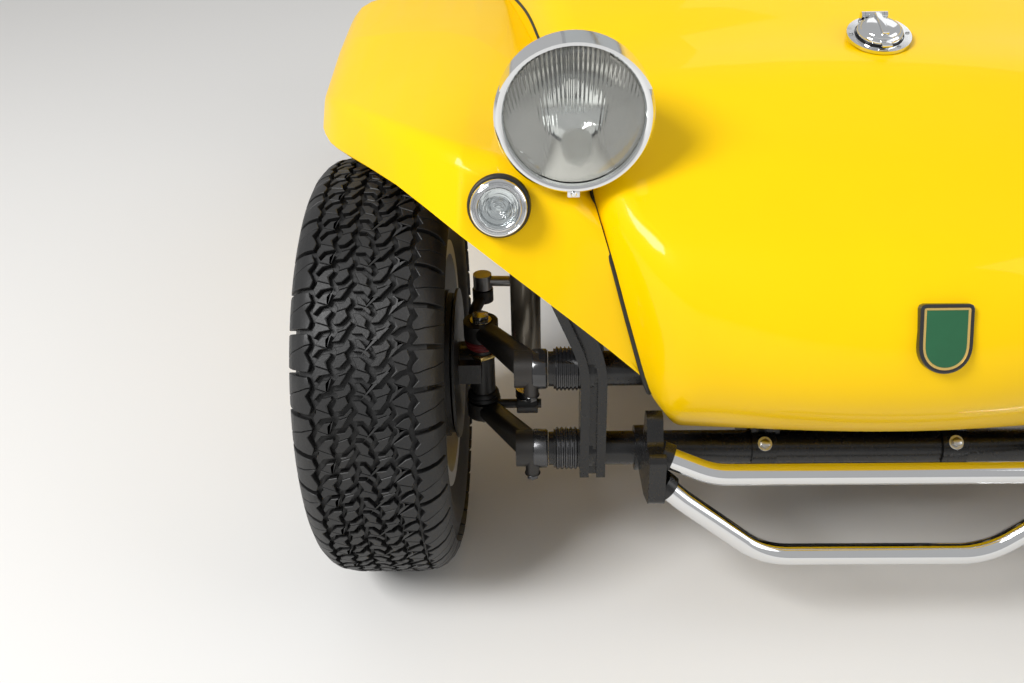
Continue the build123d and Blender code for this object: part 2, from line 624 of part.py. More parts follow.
def roll_bar():
    """A tall hoop behind the seats with two rear stays and foot plates."""
    x, y = HOOP_X, HOOP_Y
    foot = TORSION_Z + 76 + SEAT_GAP
    shape = bent_bar([(-x, y, foot), (-x, y, 1060), (100 - x, y - 18, 1325), (x - 100, y - 18, 1325),
                      (x, y, 1060), (x, y, foot)], HOOP_R, 110)
    stay = cylinder((x - 90, y - 10, 1290), (x - 90, 890, 800), 19) - deck_body()
    for sign in (1, -1):
        shape += side(max(stay.solids(), key=lambda part: part.volume), sign)
    return shape + cylinder((10 - x, y - 1, 1010), (x - 10, y - 1, 1010), 19)


SEAT_X = 300.0
# Fan angle, half width, radius to the seat's skin, side height
SEAT = [(111, 190, 386, 50), (97, 205, 402, 84), (82, 208, 420, 100), (66, 206, 446, 110), (52, 200, 440, 110),
        (36, 198, 402, 100), (18, 194, 376, 84), (-2, 182, 398, 66), (-13, 156, 426, 44), (-18, 130, 444, 30)]
SEAT_PIVOT = (-60.0, 760.0)
RUNNER_TOP = 338.0
CUSHION = 44.0


def seat_plane(angle, x):
    """A plane in the seat's fan: 0 points back, 90 points down."""
    v = (0, cos(radians(angle)), -sin(radians(angle)))
    return Plane(origin=(x, SEAT_PIVOT[0], SEAT_PIVOT[1]), x_dir=(1, 0, 0), z_dir=(0, -v[2], v[1]))


def seat_shell(x):
    """A moulded bucket seat shell on two runners."""
    sections = []
    for angle, half, reach, high in between(SEAT, 2):
        points = [(-half - 14, reach - high), (-half, reach), (half, reach), (half + 14, reach - high)]
        sections.append(wall_section(seat_plane(angle, x), points, [50.0, 50.0], -6.0))
    shape = ribs(sections)
    for dx in (-150, 150):
        shape += block((x + dx - 14, -160, TUB_FLOOR + PANEL), (x + dx + 14, 120, RUNNER_TOP))
    return shape


def seat_cushion(x):
    """The padded cushion that fills the bucket."""
    sections = []
    for angle, half, reach, high in between(SEAT, 2):
        face = Pos(0, reach - SEAT_GAP - CUSHION / 2) * RectangleRounded(2 * half - CUSHION, CUSHION, 20)
        sections.append(seat_plane(angle, x) * face)
    return ribs(sections)


def floor_pan():
    """The platform: floor pans, centre tunnel, frame head and rear forks."""
    top = FLOOR_Z + 12 - SEAT_GAP
    shape = block((-520, -690, FLOOR_Z), (520, 420, top))
    shape += block((-60, -1140, 150), (60, 420, TUNNEL_Z)) - block((-54, -1200, 156), (54, 380, TUNNEL_Z - 6))
    for x in (-300, 300):
        shape += block((x - 30, -640, FLOOR_Z - 16), (x + 30, 360, FLOOR_Z)) - block(
            (x - 24, -650, FLOOR_Z - 10), (x + 24, 370, FLOOR_Z))
    head = block((-165, BEAM_Y + 34 + SEAT_GAP, LOWER_TUBE_Z - 50), (165, BEAM_Y + 45, UPPER_TUBE_Z + 24))
    head += block((-150, BEAM_Y + 35, 180), (150, -1090, 190))
    for x in (-150, 144):
        head += block((x, BEAM_Y + 35, 180), (x + 6, -1100, 330))
    shape += head
    for sign in (1, -1):
        fork = bent_bar([(140, 380, 190), (150, 430, 240), (196, 560, 300), (208, 980, 326)], 26, 60)
        shape += side(fork, sign)
    shape -= block((-240, 300, TUB_FLOOR - SEAT_GAP), (240, TUB_END_Y + 2, 400)) - block(
        (-60, 200, 0), (60, 420, TUNNEL_Z))
    return shape - cylinder((-505, TORSION_Y, TORSION_Z), (505, TORSION_Y, TORSION_Z), 48 + SEAT_GAP)




def damper_post(radius):
    """The left rear damper's post from the torsion housing up to its eye."""
    y, z = TORSION_Y, TORSION_Z
    return bent_bar([(430, y, z + 30), (430, y + 40, 500), (470, REAR_AXLE_Y - 124, 692)], radius, 60)


def rear_torsion_housing():
    """The rear torsion tube across the frame, with end castings and damper posts."""
    shape = cylinder((-505, TORSION_Y, TORSION_Z), (505, TORSION_Y, TORSION_Z), 48)
    for sign in (1, -1):
        casting = cylinder((478, TORSION_Y, TORSION_Z), (512, TORSION_Y, TORSION_Z), 76)
        shelf = block((456, REAR_AXLE_Y - 140, 690 + SEAT_GAP), (498, REAR_AXLE_Y - 40, 698))
        shape += side(casting + damper_post(20) + shelf, sign)
    return shape


def spring_plates():
    """The two rear spring plates from the torsion bars to the axle tubes."""
    points = [(470, 262), (560, 262), (700, 310), (850, 320), (850, 428), (760, 424), (580, 350), (470, 340)]
    plate = extrude(section_at_x(532) * make_face(FilletPolyline(*points, radius=24.0, close=True)), 9)
    plate += cylinder((512 + SEAT_GAP, TORSION_Y, TORSION_Z), (541, TORSION_Y, TORSION_Z), 52)
    hole = cylinder((500, REAR_AXLE_Y, REAR_WHEEL["r"]), (560, REAR_AXLE_Y, REAR_WHEEL["r"]), 30 + SEAT_GAP)
    return both(plate - hole)


def rear_axle_tubes():
    """The swing axle tubes with their bearing housings, backing plates and the axle shafts."""
    z, y = REAR_WHEEL["r"], REAR_AXLE_Y
    drum_in = REAR_WHEEL["x"] + REAR_WHEEL["hub"] - 50 - SEAT_GAP
    shapes = []
    for sign in (1, -1):
        tube = cylinder((134 + SEAT_GAP, y, z), (drum_in - 4, y, z), 30)
        tube += cylinder((541 + SEAT_GAP, y, z), (drum_in + 8, y, z), 46)
        tube += cylinder((drum_in - 10, y, z), (drum_in - 5, y, z), 126)
        tube += cylinder((drum_in, y, z), (drum_in + 92, y, z), AXLE_R)
        tube += cylinder((452, y - 62, 300), (512, y - 62, 300), 8)
        tube += block((502, y - 76, 286), (512, y - 10, z - 18))
        shapes.append(side(tube, sign))
    return Compound([solid for shape in shapes for solid in shape.solids()])


def damper(low, high, radius):
    """A telescopic damper: body, cover, rod and an eye at each end."""
    a, b = Vector(*low), Vector(*high)
    along = (b - a).normalized()
    length = (b - a).length
    shape = cylinder(tuple(a + along * 14), tuple(a + along * (length * 0.52)), radius - 5)
    shape += cylinder(tuple(a + along * (length * 0.42)), tuple(b - along * 22), radius)
    shape += cylinder(tuple(b - along * 30), tuple(b), 8)
    shape += cylinder(tuple(a + Vector(-18, 0, 0)), tuple(a + Vector(18, 0, 0)), 17)
    return shape - cylinder(tuple(a + Vector(-30, 0, 0)), tuple(a + Vector(30, 0, 0)), 8 + SEAT_GAP)


def gearbox():
    """The transaxle: ribbed case, nose cone, side covers and bell housing."""
    y, z = REAR_AXLE_Y, REAR_WHEEL["r"]
    shape = cylinder((0, y - 180, z + 6), (0, y + 60, z + 6), 98)
    shape += cylinder((0, y - 218, z), (0, y - 176, z), 62)
    shape += cylinder((-134, y, z), (134, y, z), 88)
    shape += spin_y([(y + 60, 98), (y + 150, 176), (y + 160, 176), (y + 160, 0), (y + 60, 0)], z)
    for dy in (-160, -110, -60):
        shape += cylinder((0, y + dy, z + 6), (0, y + dy + 10, z + 6), 106)
    return shape


def spin_y(profile, z, x=0.0):
    """Revolves (y, r) points about a fore-and-aft axis at height z."""
    face = make_face(Polyline(*[(r, y, 0) for y, r in profile], close=True))
    return Pos(x, 0, z) * revolve(face, Axis.Y)


ENGINE_Y = REAR_AXLE_Y + 166.0
CRANK_Z = 392.0
CYLINDER_Y = (ENGINE_Y + 90.0, ENGINE_Y + 212.0)
FAN_UP = 290.0  # the fan's axis above the crankshaft


def engine_case():
    """The crankcase with sump, oil filler, cylinders with cooling fins and the cylinder heads."""
    y, z = ENGINE_Y, CRANK_Z
    shape = block((-112, y, z - 84), (112, y + 306, z + 92))
    shape += block((-100, y + 26, z - 130), (100, y + 250, z - 80))
    shape += cylinder((0, y + 2, z), (0, y + 312, z), 60)
    shape += cylinder((92, y + 270, z + 60), (104, y + 282, z + 176), 24)
    for sign in (1, -1):
        for cy in CYLINDER_Y:
            barrel = cylinder((108, cy, z), (262, cy, z), 46)
            for i in range(10):
                barrel += cylinder((124 + i * 12, cy, z), (128 + i * 12, cy, z), 58)
            shape += side(barrel, sign)
        shape += side(block((244, CYLINDER_Y[0] - 64, z - 58), (326, CYLINDER_Y[1] + 64, z + 58)), sign)
        shape += side(block((320, CYLINDER_Y[0] - 56, z - 62), (372, CYLINDER_Y[1] + 56, z + 26)), sign)
    return shape


def engine_tinware():
    """The sheet metal over the cylinders and across the back of the engine."""
    z = CRANK_Z + 58 + SEAT_GAP
    shapes = None
    for sign in (1, -1):
        top = block((118, CYLINDER_Y[0] - 70, z), (334, CYLINDER_Y[1] + 80, z + 5))
        top += block((330, CYLINDER_Y[0] - 70, z - 26), (334, CYLINDER_Y[1] + 80, z + 5))
        top += block((132, CYLINDER_Y[1] + 76, z - 70), (334, CYLINDER_Y[1] + 80, z + 5))
        top -= cylinder((286, CYLINDER_Y[1] + 60, CRANK_Z - 20), (286, CYLINDER_Y[1] + 100, CRANK_Z - 20), 21)
        shapes = side(top, sign) if shapes is None else shapes + side(top, sign)
    return shapes


def fan_shroud():
    """The cooling fan's housing: a half round over the fan, flaring to both cylinder banks."""
    y0, y1 = CYLINDER_Y[0] - 40, CYLINDER_Y[0] + 76
    z = CRANK_Z + FAN_UP
    dome = extrude(Plane.XZ.offset(-y1) * Pos(0, z) * Circle(196), y1 - y0)
    foot, saddle, inner = CRANK_Z + 64, CRANK_Z + 92 + SEAT_GAP, 112 + SEAT_GAP
    skirt = Polyline((-196, z), (196, z), (244, CRANK_Z + 130), (244, foot), (inner, foot), (inner, saddle),
                     (-inner, saddle), (-inner, foot), (-244, foot), (-244, CRANK_Z + 130), close=True)
    shape = dome + extrude(Plane.XZ.offset(-y1) * make_face(skirt), y1 - y0)
    hollow = extrude(Plane.XZ.offset(-(y1 - 4)) * Pos(0, z) * Circle(190), y1 - y0 - 8)
    shape -= hollow + cylinder((0, y0 - 10, z), (0, y0 + 20, z), 120)
    return shape - cylinder((0, y1 - 20, z), (0, y1 + 10, z), 50)


def fan_and_generator():
    """The cooling fan, the generator on its stand, and the generator's pulley."""
    z = CRANK_Z + FAN_UP
    y0, y1 = CYLINDER_Y[0] - 30, CYLINDER_Y[0] + 76
    shape = cylinder((0, y1 - 40, z), (0, y1 + 150, z), 46)
    shape += cylinder((0, y1 - 40, z), (0, y1 + 176, z), 10)
    shape += cylinder((0, y0 + 10, z), (0, y0 + 16, z), 160)
    for i in range(20):
        blade = Rot(0, i * 18, 0) * Pos(140, 0, 0) * Box(30, 44, 3)
        shape += Pos(0, y0 + 36, z) * blade
    shape += cylinder((0, y0 + 10, z), (0, y1 - 36, z), 20)
    pulley = [(152, 0), (152, 62), (158, 62), (166, 46), (174, 62), (180, 62), (180, 0)]
    shape += spin_y([(y1 + dy, r) for dy, r in pulley], z)
    stand = block((-24, y1 + 20, CRANK_Z + 92 + SEAT_GAP), (24, y1 + 110, z - 30))
    return shape + stand


def crank_pulley():
    """The large crankshaft pulley and the belt up to the generator."""
    y = CYLINDER_Y[0] + 76
    shape = spin_y([(y + 150, 0), (y + 150, 84), (y + 156, 84), (y + 166, 66), (y + 176, 84), (y + 182, 84),
                    (y + 182, 0)], CRANK_Z)
    return shape


def fan_belt():
    """The belt round both pulleys."""
    y = CYLINDER_Y[0] + 76
    low, high, z0, z1 = 76.5, 58.0, CRANK_Z, CRANK_Z + FAN_UP

    def loop(extra):
        a, b = low + extra, high + extra
        tilt = atan2(a - b, z1 - z0)
        ax, az = a * cos(tilt), z0 + a * sin(tilt)
        bx, bz = b * cos(tilt), z1 + b * sin(tilt)
        edges = [*Line((ax, az), (bx, bz)).edges(), *Line((-ax, az), (-bx, bz)).edges(),
                 *ThreePointArc((bx, bz), (0, z1 + b), (-bx, bz)).edges(),
                 *ThreePointArc((ax, az), (0, z0 - a), (-ax, az)).edges()]
        return make_face(edges)
    return extrude(Plane.XZ.offset(-(y + 171)) * (loop(8) - loop(0.0)), 10)


def carburettor():
    """The carburettor, its manifold and the round air cleaner."""
    y = CYLINDER_Y[0] + 150
    z = CRANK_Z + 200
    x = -152
    foot = CRANK_Z + 63 + 2 * SEAT_GAP
    shape = bent_bar([(-280, y + 10, foot), (-280, y + 10, z - 20), (x - 20, y + 10, z + 10)], 15, 34)
    shape += cylinder((-280, y + 10, foot), (-280, y + 10, foot + 8), 26)
    shape += block((x - 26, y - 20, z - 4), (x + 26, y + 38, z + 96))
    shape += cylinder((x, y + 12, z + 92), (x, y + 12, z + 168), 74)
    return shape + cylinder((x, y + 12, z + 168), (x, y + 12, z + 176), 60)


def exhaust():
    """Four header pipes into a cross muffler with twin tail pipes."""
    z = CRANK_Z - 90
    yb = CYLINDER_Y[1] + 216
    head_y, head_z = CYLINDER_Y[1] + 64 + SEAT_GAP, CRANK_Z - 58 - SEAT_GAP
    shape = cylinder((-230, yb, z), (230, yb, z), 62)
    for sign in (1, -1):
        rear = bent_bar([(286, head_y, CRANK_Z - 20), (286, head_y + 60, CRANK_Z - 20),
                         (286, yb, z), (220, yb, z)], 19, 30)
        fore = bent_bar([(270, CYLINDER_Y[0] + 10, head_z), (270, CYLINDER_Y[0] + 10, 256),
                         (180, CYLINDER_Y[1] + 40, 250), (180, yb - 20, z - 10)], 19, 34)
        tail = bent_bar([(120, yb + 20, z - 30), (120, yb + 70, z - 40), (120, yb + 170, z - 40)], 21, 20)
        tail -= cylinder((120, yb + 80, z - 40), (120, yb + 200, z - 40), 18)
        shape += side(rear, sign) + side(fore, sign) + side(tail, sign)
    return shape


# Front bumper: two bent bars between clamp brackets
BRACKET_X = 332.0
BRACKET_W = 24.0
BUMPER_R = 16.0
BUMPER_BEND = 110.0
COLLAR = 10.0
BUMPER_Y = FRONT_AXLE_Y - 292.0
# X, distance behind the bumper's front line and Z, from each bar's left end to its middle
UPPER_BAR = [(BRACKET_X - BRACKET_W / 2 - SEAT_GAP, 14, 354), (250, 0, 331)]
LOWER_BAR = [(BRACKET_X - BRACKET_W / 2 - SEAT_GAP, 6, 308), (290, 2, 282), (166, -6, 184)]


def front_bumper():
    """The bright front bumper: an upper bar and a lower bar between two brackets."""
    bars = []
    for half in (UPPER_BAR, LOWER_BAR):
        line = [(x, BUMPER_Y + dy, z) for x, dy, z in half]
        bars.append(bent_bar([(-x, y, z) for x, y, z in line] + line[::-1], BUMPER_R, BUMPER_BEND))
    end = UPPER_BAR[0][0]
    return bars[0] + bars[1] - both(block((end, BUMPER_Y - 60, 200), (end + 60, BUMPER_Y + 60, 400)))


def bumper_brackets():
    """Two clamp brackets from the lower tube to the bumper, with a collar round each bar's end."""
    points = [(BEAM_Y - 24, 250), (BEAM_Y - 24, 312), (-1458, 336), (-1468, 396), (-1494, 400), (-1512, 362),
              (-1556, 372), (-1560, 290), (-1500, 262)]
    radii = [8.0, 10.0, 20.0, 11.0, 11.0, 16.0, 12.0, 14.0, 20.0]
    web = section_at_x(BRACKET_X - BRACKET_W / 2) * make_face(FilletPolyline(*points, radius=radii, close=True))
    shape = extrude(web, BRACKET_W)
    for (x0, y0, z0), (x1, y1, z1) in (UPPER_BAR[:2], LOWER_BAR[:2]):
        run = Vector(x1 - x0, y1 - y0, z1 - z0).normalized() * COLLAR
        start = Vector(x0, BUMPER_Y + y0, z0)
        shape += cylinder(tuple(start - run * 0.6), tuple(start + run), BUMPER_R + 5)
        shape -= cylinder(tuple(start - run * 0.01), tuple(start + run * 1.5), BUMPER_R + SEAT_GAP)
    at = (BRACKET_X, BEAM_Y, LOWER_TUBE_Z)
    clamp = Pos(*at) * Rot(0, 90, 0) * Cylinder(TUBE_R + 9, 36)
    bore = Pos(*at) * Rot(0, 90, 0) * Cylinder(TUBE_R + SEAT_GAP, 60)
    return both(shape + clamp - bore)


def rear_bumper():
    """A bright tube guard round the engine, clamped to the damper posts."""
    z, tail = 474.0, TAIL_Y - 18
    half = [(462, 596, 560), (424, 700, 500), (424, 1000, z), (424, 1330, z), (372, tail, z)]
    bar = bent_bar([(-x, y, v) for x, y, v in half] + half[::-1], 18, 44)
    return bar - both(damper_post(20 + SEAT_GAP))


LAMP = (452.0, FRONT_AXLE_Y - 197.0, 839.0)


def lamp_foot(gap=0.0, rise=0.0):
    """The flange under the left headlamp's post, grown by a gap and raised for its recess in the wing."""
    x, y, z = LAMP
    return cylinder((x + 14, y + 40, z - 96 + rise), (x + 14, y + 40, z - 103 - gap), 22 + gap)


def headlamp():
    """The left headlamp: a bright bucket with a hooded rim on a short post."""
    x, y, z = LAMP
    rows = [(96, -22), (102, -18), (102, 6), (97, 14), (86, 50), (62, 84), (32, 104), (0, 110),
            (0, 104), (56, 78), (80, 46), (90, 6), (90, -12), (96, -16)]
    bucket = spin_y([(b, a) for a, b in rows], 0)
    hood = ring((0, -60, 0), (0, -14, 0), 103, 99) - block((-120, -80, -120), (120, 0, 46))
    post = cylinder((14, 40, -70), (14, 40, -100), 15)
    return Pos(x, y, z) * (bucket + hood + post) + lamp_foot()


def headlamp_lens():
    """The domed lens inside the headlamp's rim."""
    x, y, z = LAMP
    dome = spin_y([(-10, 0), (-10, 89.5), (-22, 86), (-32, 66), (-39, 36), (-41, 0)], 0)
    return Pos(x, y, z) * dome


def turn_signal():
    """The left parking lamp: a rubber base, a bright bezel and a ringed lens."""
    tilt = radians(14)
    at = Plane(origin=(550, FRONT_AXLE_Y - 214.4, 720.7), x_dir=(1, 0, 0), z_dir=(0, -cos(tilt), sin(tilt)))
    base = at * Pos(0, 0, 6) * Cylinder(42, 12)
    body = at * Pos(0, 0, 22) * Cylinder(37, 20)
    lens = at * Pos(0, 0, 36) * Cylinder(30, 8)
    return base + body + lens


def tail_lamp():
    """The left tail lamp on the rear wing."""
    at = Plane(origin=(720, REAR_AXLE_Y + 367.8, 712), x_dir=(1, 0, 0), z_dir=(0, 0.94, 0.34))
    return at * Pos(0, 0, 12) * Cylinder(46, 22) + at * Pos(0, 0, 27) * Cylinder(38, 10)


def badge_shield():
    """A plain shield-shaped emblem on a dark plinth."""
    plane = Plane(origin=(0, FRONT_AXLE_Y - 366, 602), x_dir=(1, 0, 0), z_dir=(0, -0.93, 0.37))
    line = FilletPolyline((-33, 40), (-33, -10), (0, -47), (33, -10), (33, 40), radius=[20.0, 16.0, 20.0])
    top = ThreePointArc((33, 40), (0, 43), (-33, 40))
    face = make_face([*line.edges(), *top.edges()])
    deep = 6.0
    return extrude(plane.offset(-deep) * face, deep + 12) - nose_body(6, 20)


CAP_TILT = 19.0
FILLER_Z = 862.0
TANK_TOP = 780.0
TANK = (520.0, 320.0, 160.0)


def filler_plane():
    """The filler's plane on the sloping hood, with local z along the hood's normal."""
    tilt = radians(CAP_TILT)
    return Plane(origin=(0, FRONT_AXLE_Y + 50, FILLER_Z), x_dir=(1, 0, 0), z_dir=(0, -sin(tilt), cos(tilt)))


HINGE_V, HINGE_W = 40.0, 15.0  # the cap's hinge pin, behind and above the filler plane's origin
HINGE_R = 2.5
EAR_R = 5.5
EAR_X = 14.0


def filler_neck():
    """The bright filler neck with its flange, two ears and the cap's hinge pin."""
    tilt = radians(CAP_TILT)
    foot = (FILLER_Z - TANK_TOP - SEAT_GAP - NECK_R * sin(tilt)) / cos(tilt)
    shape = cylinder((0, 0, -foot), (0, 0, 7), NECK_R) + Pos(0, 0, 7) * Cylinder(FLANGE_R, 5)
    for low, high in ((-EAR_X - 5, -EAR_X), (EAR_X, EAR_X + 5)):
        shape += cylinder((low, HINGE_V, HINGE_W), (high, HINGE_V, HINGE_W), EAR_R)
        shape += block((low, HINGE_V - EAR_R, 8), (high, HINGE_V + EAR_R, HINGE_W))
    return filler_plane() * (shape + cylinder((-EAR_X, HINGE_V, HINGE_W), (EAR_X, HINGE_V, HINGE_W), HINGE_R))


def filler_cap():
    """The flip cap with its hinge knuckle and finger lever."""
    wide = EAR_X - SEAT_GAP
    top = Pos(0, 0, 18) * Cylinder(CAP_R, 16) + Pos(0, -CAP_R - 5, 17) * Box(14, 18, 5)
    top += block((-10, CAP_R - 5, HINGE_W - 3), (10, HINGE_V, HINGE_W + 3))
    top += cylinder((-wide, HINGE_V, HINGE_W), (wide, HINGE_V, HINGE_W), EAR_R)
    bore = cylinder((-wide - 1, HINGE_V, HINGE_W), (wide + 1, HINGE_V, HINGE_W), HINGE_R + RUNNING)
    return filler_plane() * (top - bore)


def fuel_tank():
    """The tank under the hood."""
    return Pos(0, FRONT_AXLE_Y + 60, TANK_TOP - TANK[2] / 2) * Box(*TANK)


def gear_lever():
    """The gear lever and handbrake on the tunnel."""
    deck = TUNNEL_Z + 8
    lever = bent_bar([(0, -300, deck + 10), (0, -330, 420), (0, -280, 540)], 7, 60)
    lever += Pos(0, -279, 546) * Sphere(22)
    boot = Pos(0, -300, deck + 14) * Cone(44, 14, 28)
    brake = cylinder((0, -160, deck + 10), (0, 60, 400), 9) + cylinder((0, -10, 369), (0, 80, 409), 15)
    return lever + boot + brake + block((-20, -190, deck), (20, -130, deck + 24))


def pedals():
    """Three pedals hinged at the floor."""
    shape = None
    for x, w in ((180, 26), (260, 26), (350, 20)):
        arm = bent_bar([(x, -640, 233.4), (x, -650, 330), (x, -600, 380)], 7, 30)
        pad = Pos(x, -596, 384) * Rot(-40, 0, 0) * Box(2 * w, 8, 60)
        piece = arm + pad
        shape = piece if shape is None else shape + piece
    return shape + cylinder((150, -640, 233.4), (380, -640, 233.4), 9)


def mirrored(name, shape):
    """A left-hand node and its right-hand twin."""
    return {name + "_left": shape, name + "_right": shape.mirror(Plane.YZ)}


def assembly():
    """Every node by name."""
    frame, glass = windshield()
    shell, cushion = seat_shell(SEAT_X), seat_cushion(SEAT_X)
    x, y = FRONT_SHOCK_X, FRONT_AXLE_Y - 10
    front_damper = damper((x, y, 268), (x, y, 664 - SEAT_GAP), 25)
    rear_damper = damper((478, REAR_AXLE_Y - 62, 300), (478, REAR_AXLE_Y - 62, 690), 26)
    axles = Compound([*rear_axle_tubes().solids(), *spring_plates().solids()])
    nodes = {
        "floor_pan": floor_pan(), "body_tub": body_tub(), "nose_hood": nose_hood(), "rear_deck": rear_deck(),
        **mirrored("front_fender", front_fender()), **mirrored("rear_fender", rear_fender()),
        "dashboard": dashboard(), "windshield_frame": frame, "windshield_glass": glass, "roll_bar": roll_bar(),
        "seat_shells": both(shell), "seat_cushions": both(cushion), "steering_column": steering_column(),
        "cockpit_controls": Compound([*gear_lever().solids(), *pedals().solids()]),
        "headlamps": both(headlamp()), "headlamp_lenses": both(headlamp_lens()),
        "turn_signals": both(turn_signal()), "tail_lamps": both(tail_lamp()), "badge_shield": badge_shield(),
        "fuel_filler": filler_neck(), "fuel_tank": fuel_tank(), "front_axle_beam": front_beam(),
        "front_trailing_arms": front_arms(), "front_dampers": both(front_damper),
        "steering_box": steering_box(), "front_bumper": front_bumper(), "bumper_brackets": bumper_brackets(),
        "rear_torsion_housing": rear_torsion_housing(),
        "swing_axles": axles, "rear_dampers": both(rear_damper), "gearbox": gearbox(),
        "engine_case": engine_case(),
        "engine_shroud": Compound([*engine_tinware().solids(), *fan_shroud().solids()]),
        "fan_and_generator": fan_and_generator(),
        "belt_drive": Compound([*crank_pulley().solids(), *fan_belt().solids()]),
        "carburettor": carburettor(), "exhaust": exhaust(), "rear_bumper": rear_bumper(),
        **mirrored("steering_knuckle", knuckle()), "steering_wheel": steering_wheel(), "drop_arm": drop_arm(),
        "tie_rod_left": tie_rod(1), "tie_rod_right": tie_rod(-1), "fuel_cap": filler_cap(),
    }
    for place, wheel in (("front", FRONT_WHEEL), ("rear", REAR_WHEEL)):
        nodes.update(mirrored("tyre_" + place, tyre(wheel)))
        nodes.update(mirrored("wheel_" + place, rim(wheel)))
        nodes.update(mirrored("brake_drum_" + place, brake_drum(wheel)))
    return nodes


if __name__ == "__main__":
    os.makedirs("parts", exist_ok=True)
    for name, shape in assembly().items():
        export_step(Compound(shape.solids()), f"parts/{name}.step")
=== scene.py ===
import bpy
import bmesh
import json
import math
from mathutils import Matrix, Vector
from mathutils.bvhtree import BVHTree


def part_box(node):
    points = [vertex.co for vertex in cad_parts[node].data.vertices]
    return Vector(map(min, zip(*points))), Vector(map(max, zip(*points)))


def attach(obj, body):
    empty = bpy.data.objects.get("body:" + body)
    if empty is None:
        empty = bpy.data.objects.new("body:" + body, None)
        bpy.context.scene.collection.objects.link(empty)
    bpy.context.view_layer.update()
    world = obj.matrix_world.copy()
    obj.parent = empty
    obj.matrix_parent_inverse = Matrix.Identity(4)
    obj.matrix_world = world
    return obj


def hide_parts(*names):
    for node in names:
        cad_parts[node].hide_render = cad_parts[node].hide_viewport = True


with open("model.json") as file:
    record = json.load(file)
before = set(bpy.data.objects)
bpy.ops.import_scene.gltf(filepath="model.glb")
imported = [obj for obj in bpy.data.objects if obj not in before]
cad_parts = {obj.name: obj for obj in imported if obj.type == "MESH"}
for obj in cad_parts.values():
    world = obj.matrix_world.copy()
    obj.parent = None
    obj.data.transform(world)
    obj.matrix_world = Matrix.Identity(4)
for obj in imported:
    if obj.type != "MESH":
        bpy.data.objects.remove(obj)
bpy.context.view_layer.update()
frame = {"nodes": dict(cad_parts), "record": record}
nodes = frame["nodes"]
print("frame loaded")

# camera at the photograph's angle
camera = {
    "place": (-0.498, -2.700, 1.237),
    "down": 30.4,           # degrees below the horizon
    "turn": -1.85,          # degrees to the right of straight back
    "roll": -1.55,
    "lens": 35.33,          # millimetres, as the sensor
    "sensor": 36.0,
    "nearest": 0.02,
}

studio = {
    "floorColor": (0.80, 0.79, 0.77),
    "floorRoughness": 0.9,
    "floorSize": 30.0,
    "world": 0.50,
    "aim": (0, -0.6, 0.4),  # the point that the soft boxes face
    "boxes": {
        "key": dict(place=(-3.8, -4.2, 4.6), size=2.2, power=330.0),
        "fill": dict(place=(4.5, -3.0, 3.6), size=4.0, power=80.0),
        "back": dict(place=(2.5, 4.6, 5.0), size=4.0, power=40.0),
    },
}


def addObject(name, data):
    thing = bpy.data.objects.new(name, data)
    bpy.context.scene.collection.objects.link(thing)
    return thing


def placeCamera(c):
    down, turn, roll = (math.radians(c[k]) for k in ("down", "turn", "roll"))
    look = Vector((math.sin(turn) * math.cos(down), math.cos(turn) * math.cos(down), -math.sin(down)))
    right = Vector((math.cos(turn), -math.sin(turn), 0.0))
    up = right.cross(look)
    tiltedRight = right * math.cos(roll) + up * math.sin(roll)
    tiltedUp = up * math.cos(roll) - right * math.sin(roll)
    data = bpy.data.cameras.new("camera")
    data.lens = c["lens"]
    data.sensor_width = c["sensor"]
    data.clip_start = c["nearest"]
    eye = addObject("camera", data)
    turnMatrix = Matrix((tiltedRight, tiltedUp, -look)).transposed().to_4x4()
    eye.matrix_world = Matrix.Translation(c["place"]) @ turnMatrix
    bpy.context.scene.camera = eye


def addSoftBox(name, aim, place, size, power):
    data = bpy.data.lights.new(name, "AREA")
    data.size = size
    data.energy = power
    box = addObject(name, data)
    box.location = place
    box.rotation_euler = (Vector(aim) - Vector(place)).to_track_quat("-Z", "Y").to_euler()


def setStudio(s):
    scene = bpy.context.scene
    scene.view_settings.view_transform = "Standard"
    for name, box in s["boxes"].items():
        addSoftBox(name, s["aim"], **box)
    scene.world = bpy.data.worlds.new("studio")
    scene.world.use_nodes = True
    sky = scene.world.node_tree.nodes["Background"]
    sky.inputs["Color"].default_value = (1, 1, 1, 1)
    sky.inputs["Strength"].default_value = s["world"]
    bm = bmesh.new()
    bmesh.ops.create_grid(bm, x_segments=1, y_segments=1, size=s["floorSize"] / 2)
    mesh = bpy.data.meshes.new("floor")
    bm.to_mesh(mesh)
    bm.free()
    paper = bpy.data.materials.new("floorPaper")
    paper.use_nodes = True
    shader = paper.node_tree.nodes["Principled BSDF"]
    shader.inputs["Base Color"].default_value = (*s["floorColor"], 1)
    shader.inputs["Roughness"].default_value = s["floorRoughness"]
    mesh.materials.append(paper)
    addObject("floor", mesh)


placeCamera(camera)
setStudio(studio)
print("camera and studio")

# Shader group that the materials share: fine bump, and a slow change of colour and roughness

grainSettings = {
    "slowScale": 5.0, "patchFrom": 0.42, "patchTo": 0.72, "roughSpread": 0.16, "bumpDistance": 0.001,
    "inputs": [("Color", "Color", (0.5, 0.5, 0.5, 1)), ("Dust", "Color", (0.5, 0.5, 0.5, 1)),
               ("Amount", "Float", 0.2), ("Scale", "Float", 60.0),
               ("Roughness", "Float", 0.5), ("Bump", "Float", 0.1)],
    "outputs": [("Color", "Color"), ("Roughness", "Float"), ("Normal", "Vector")],
}


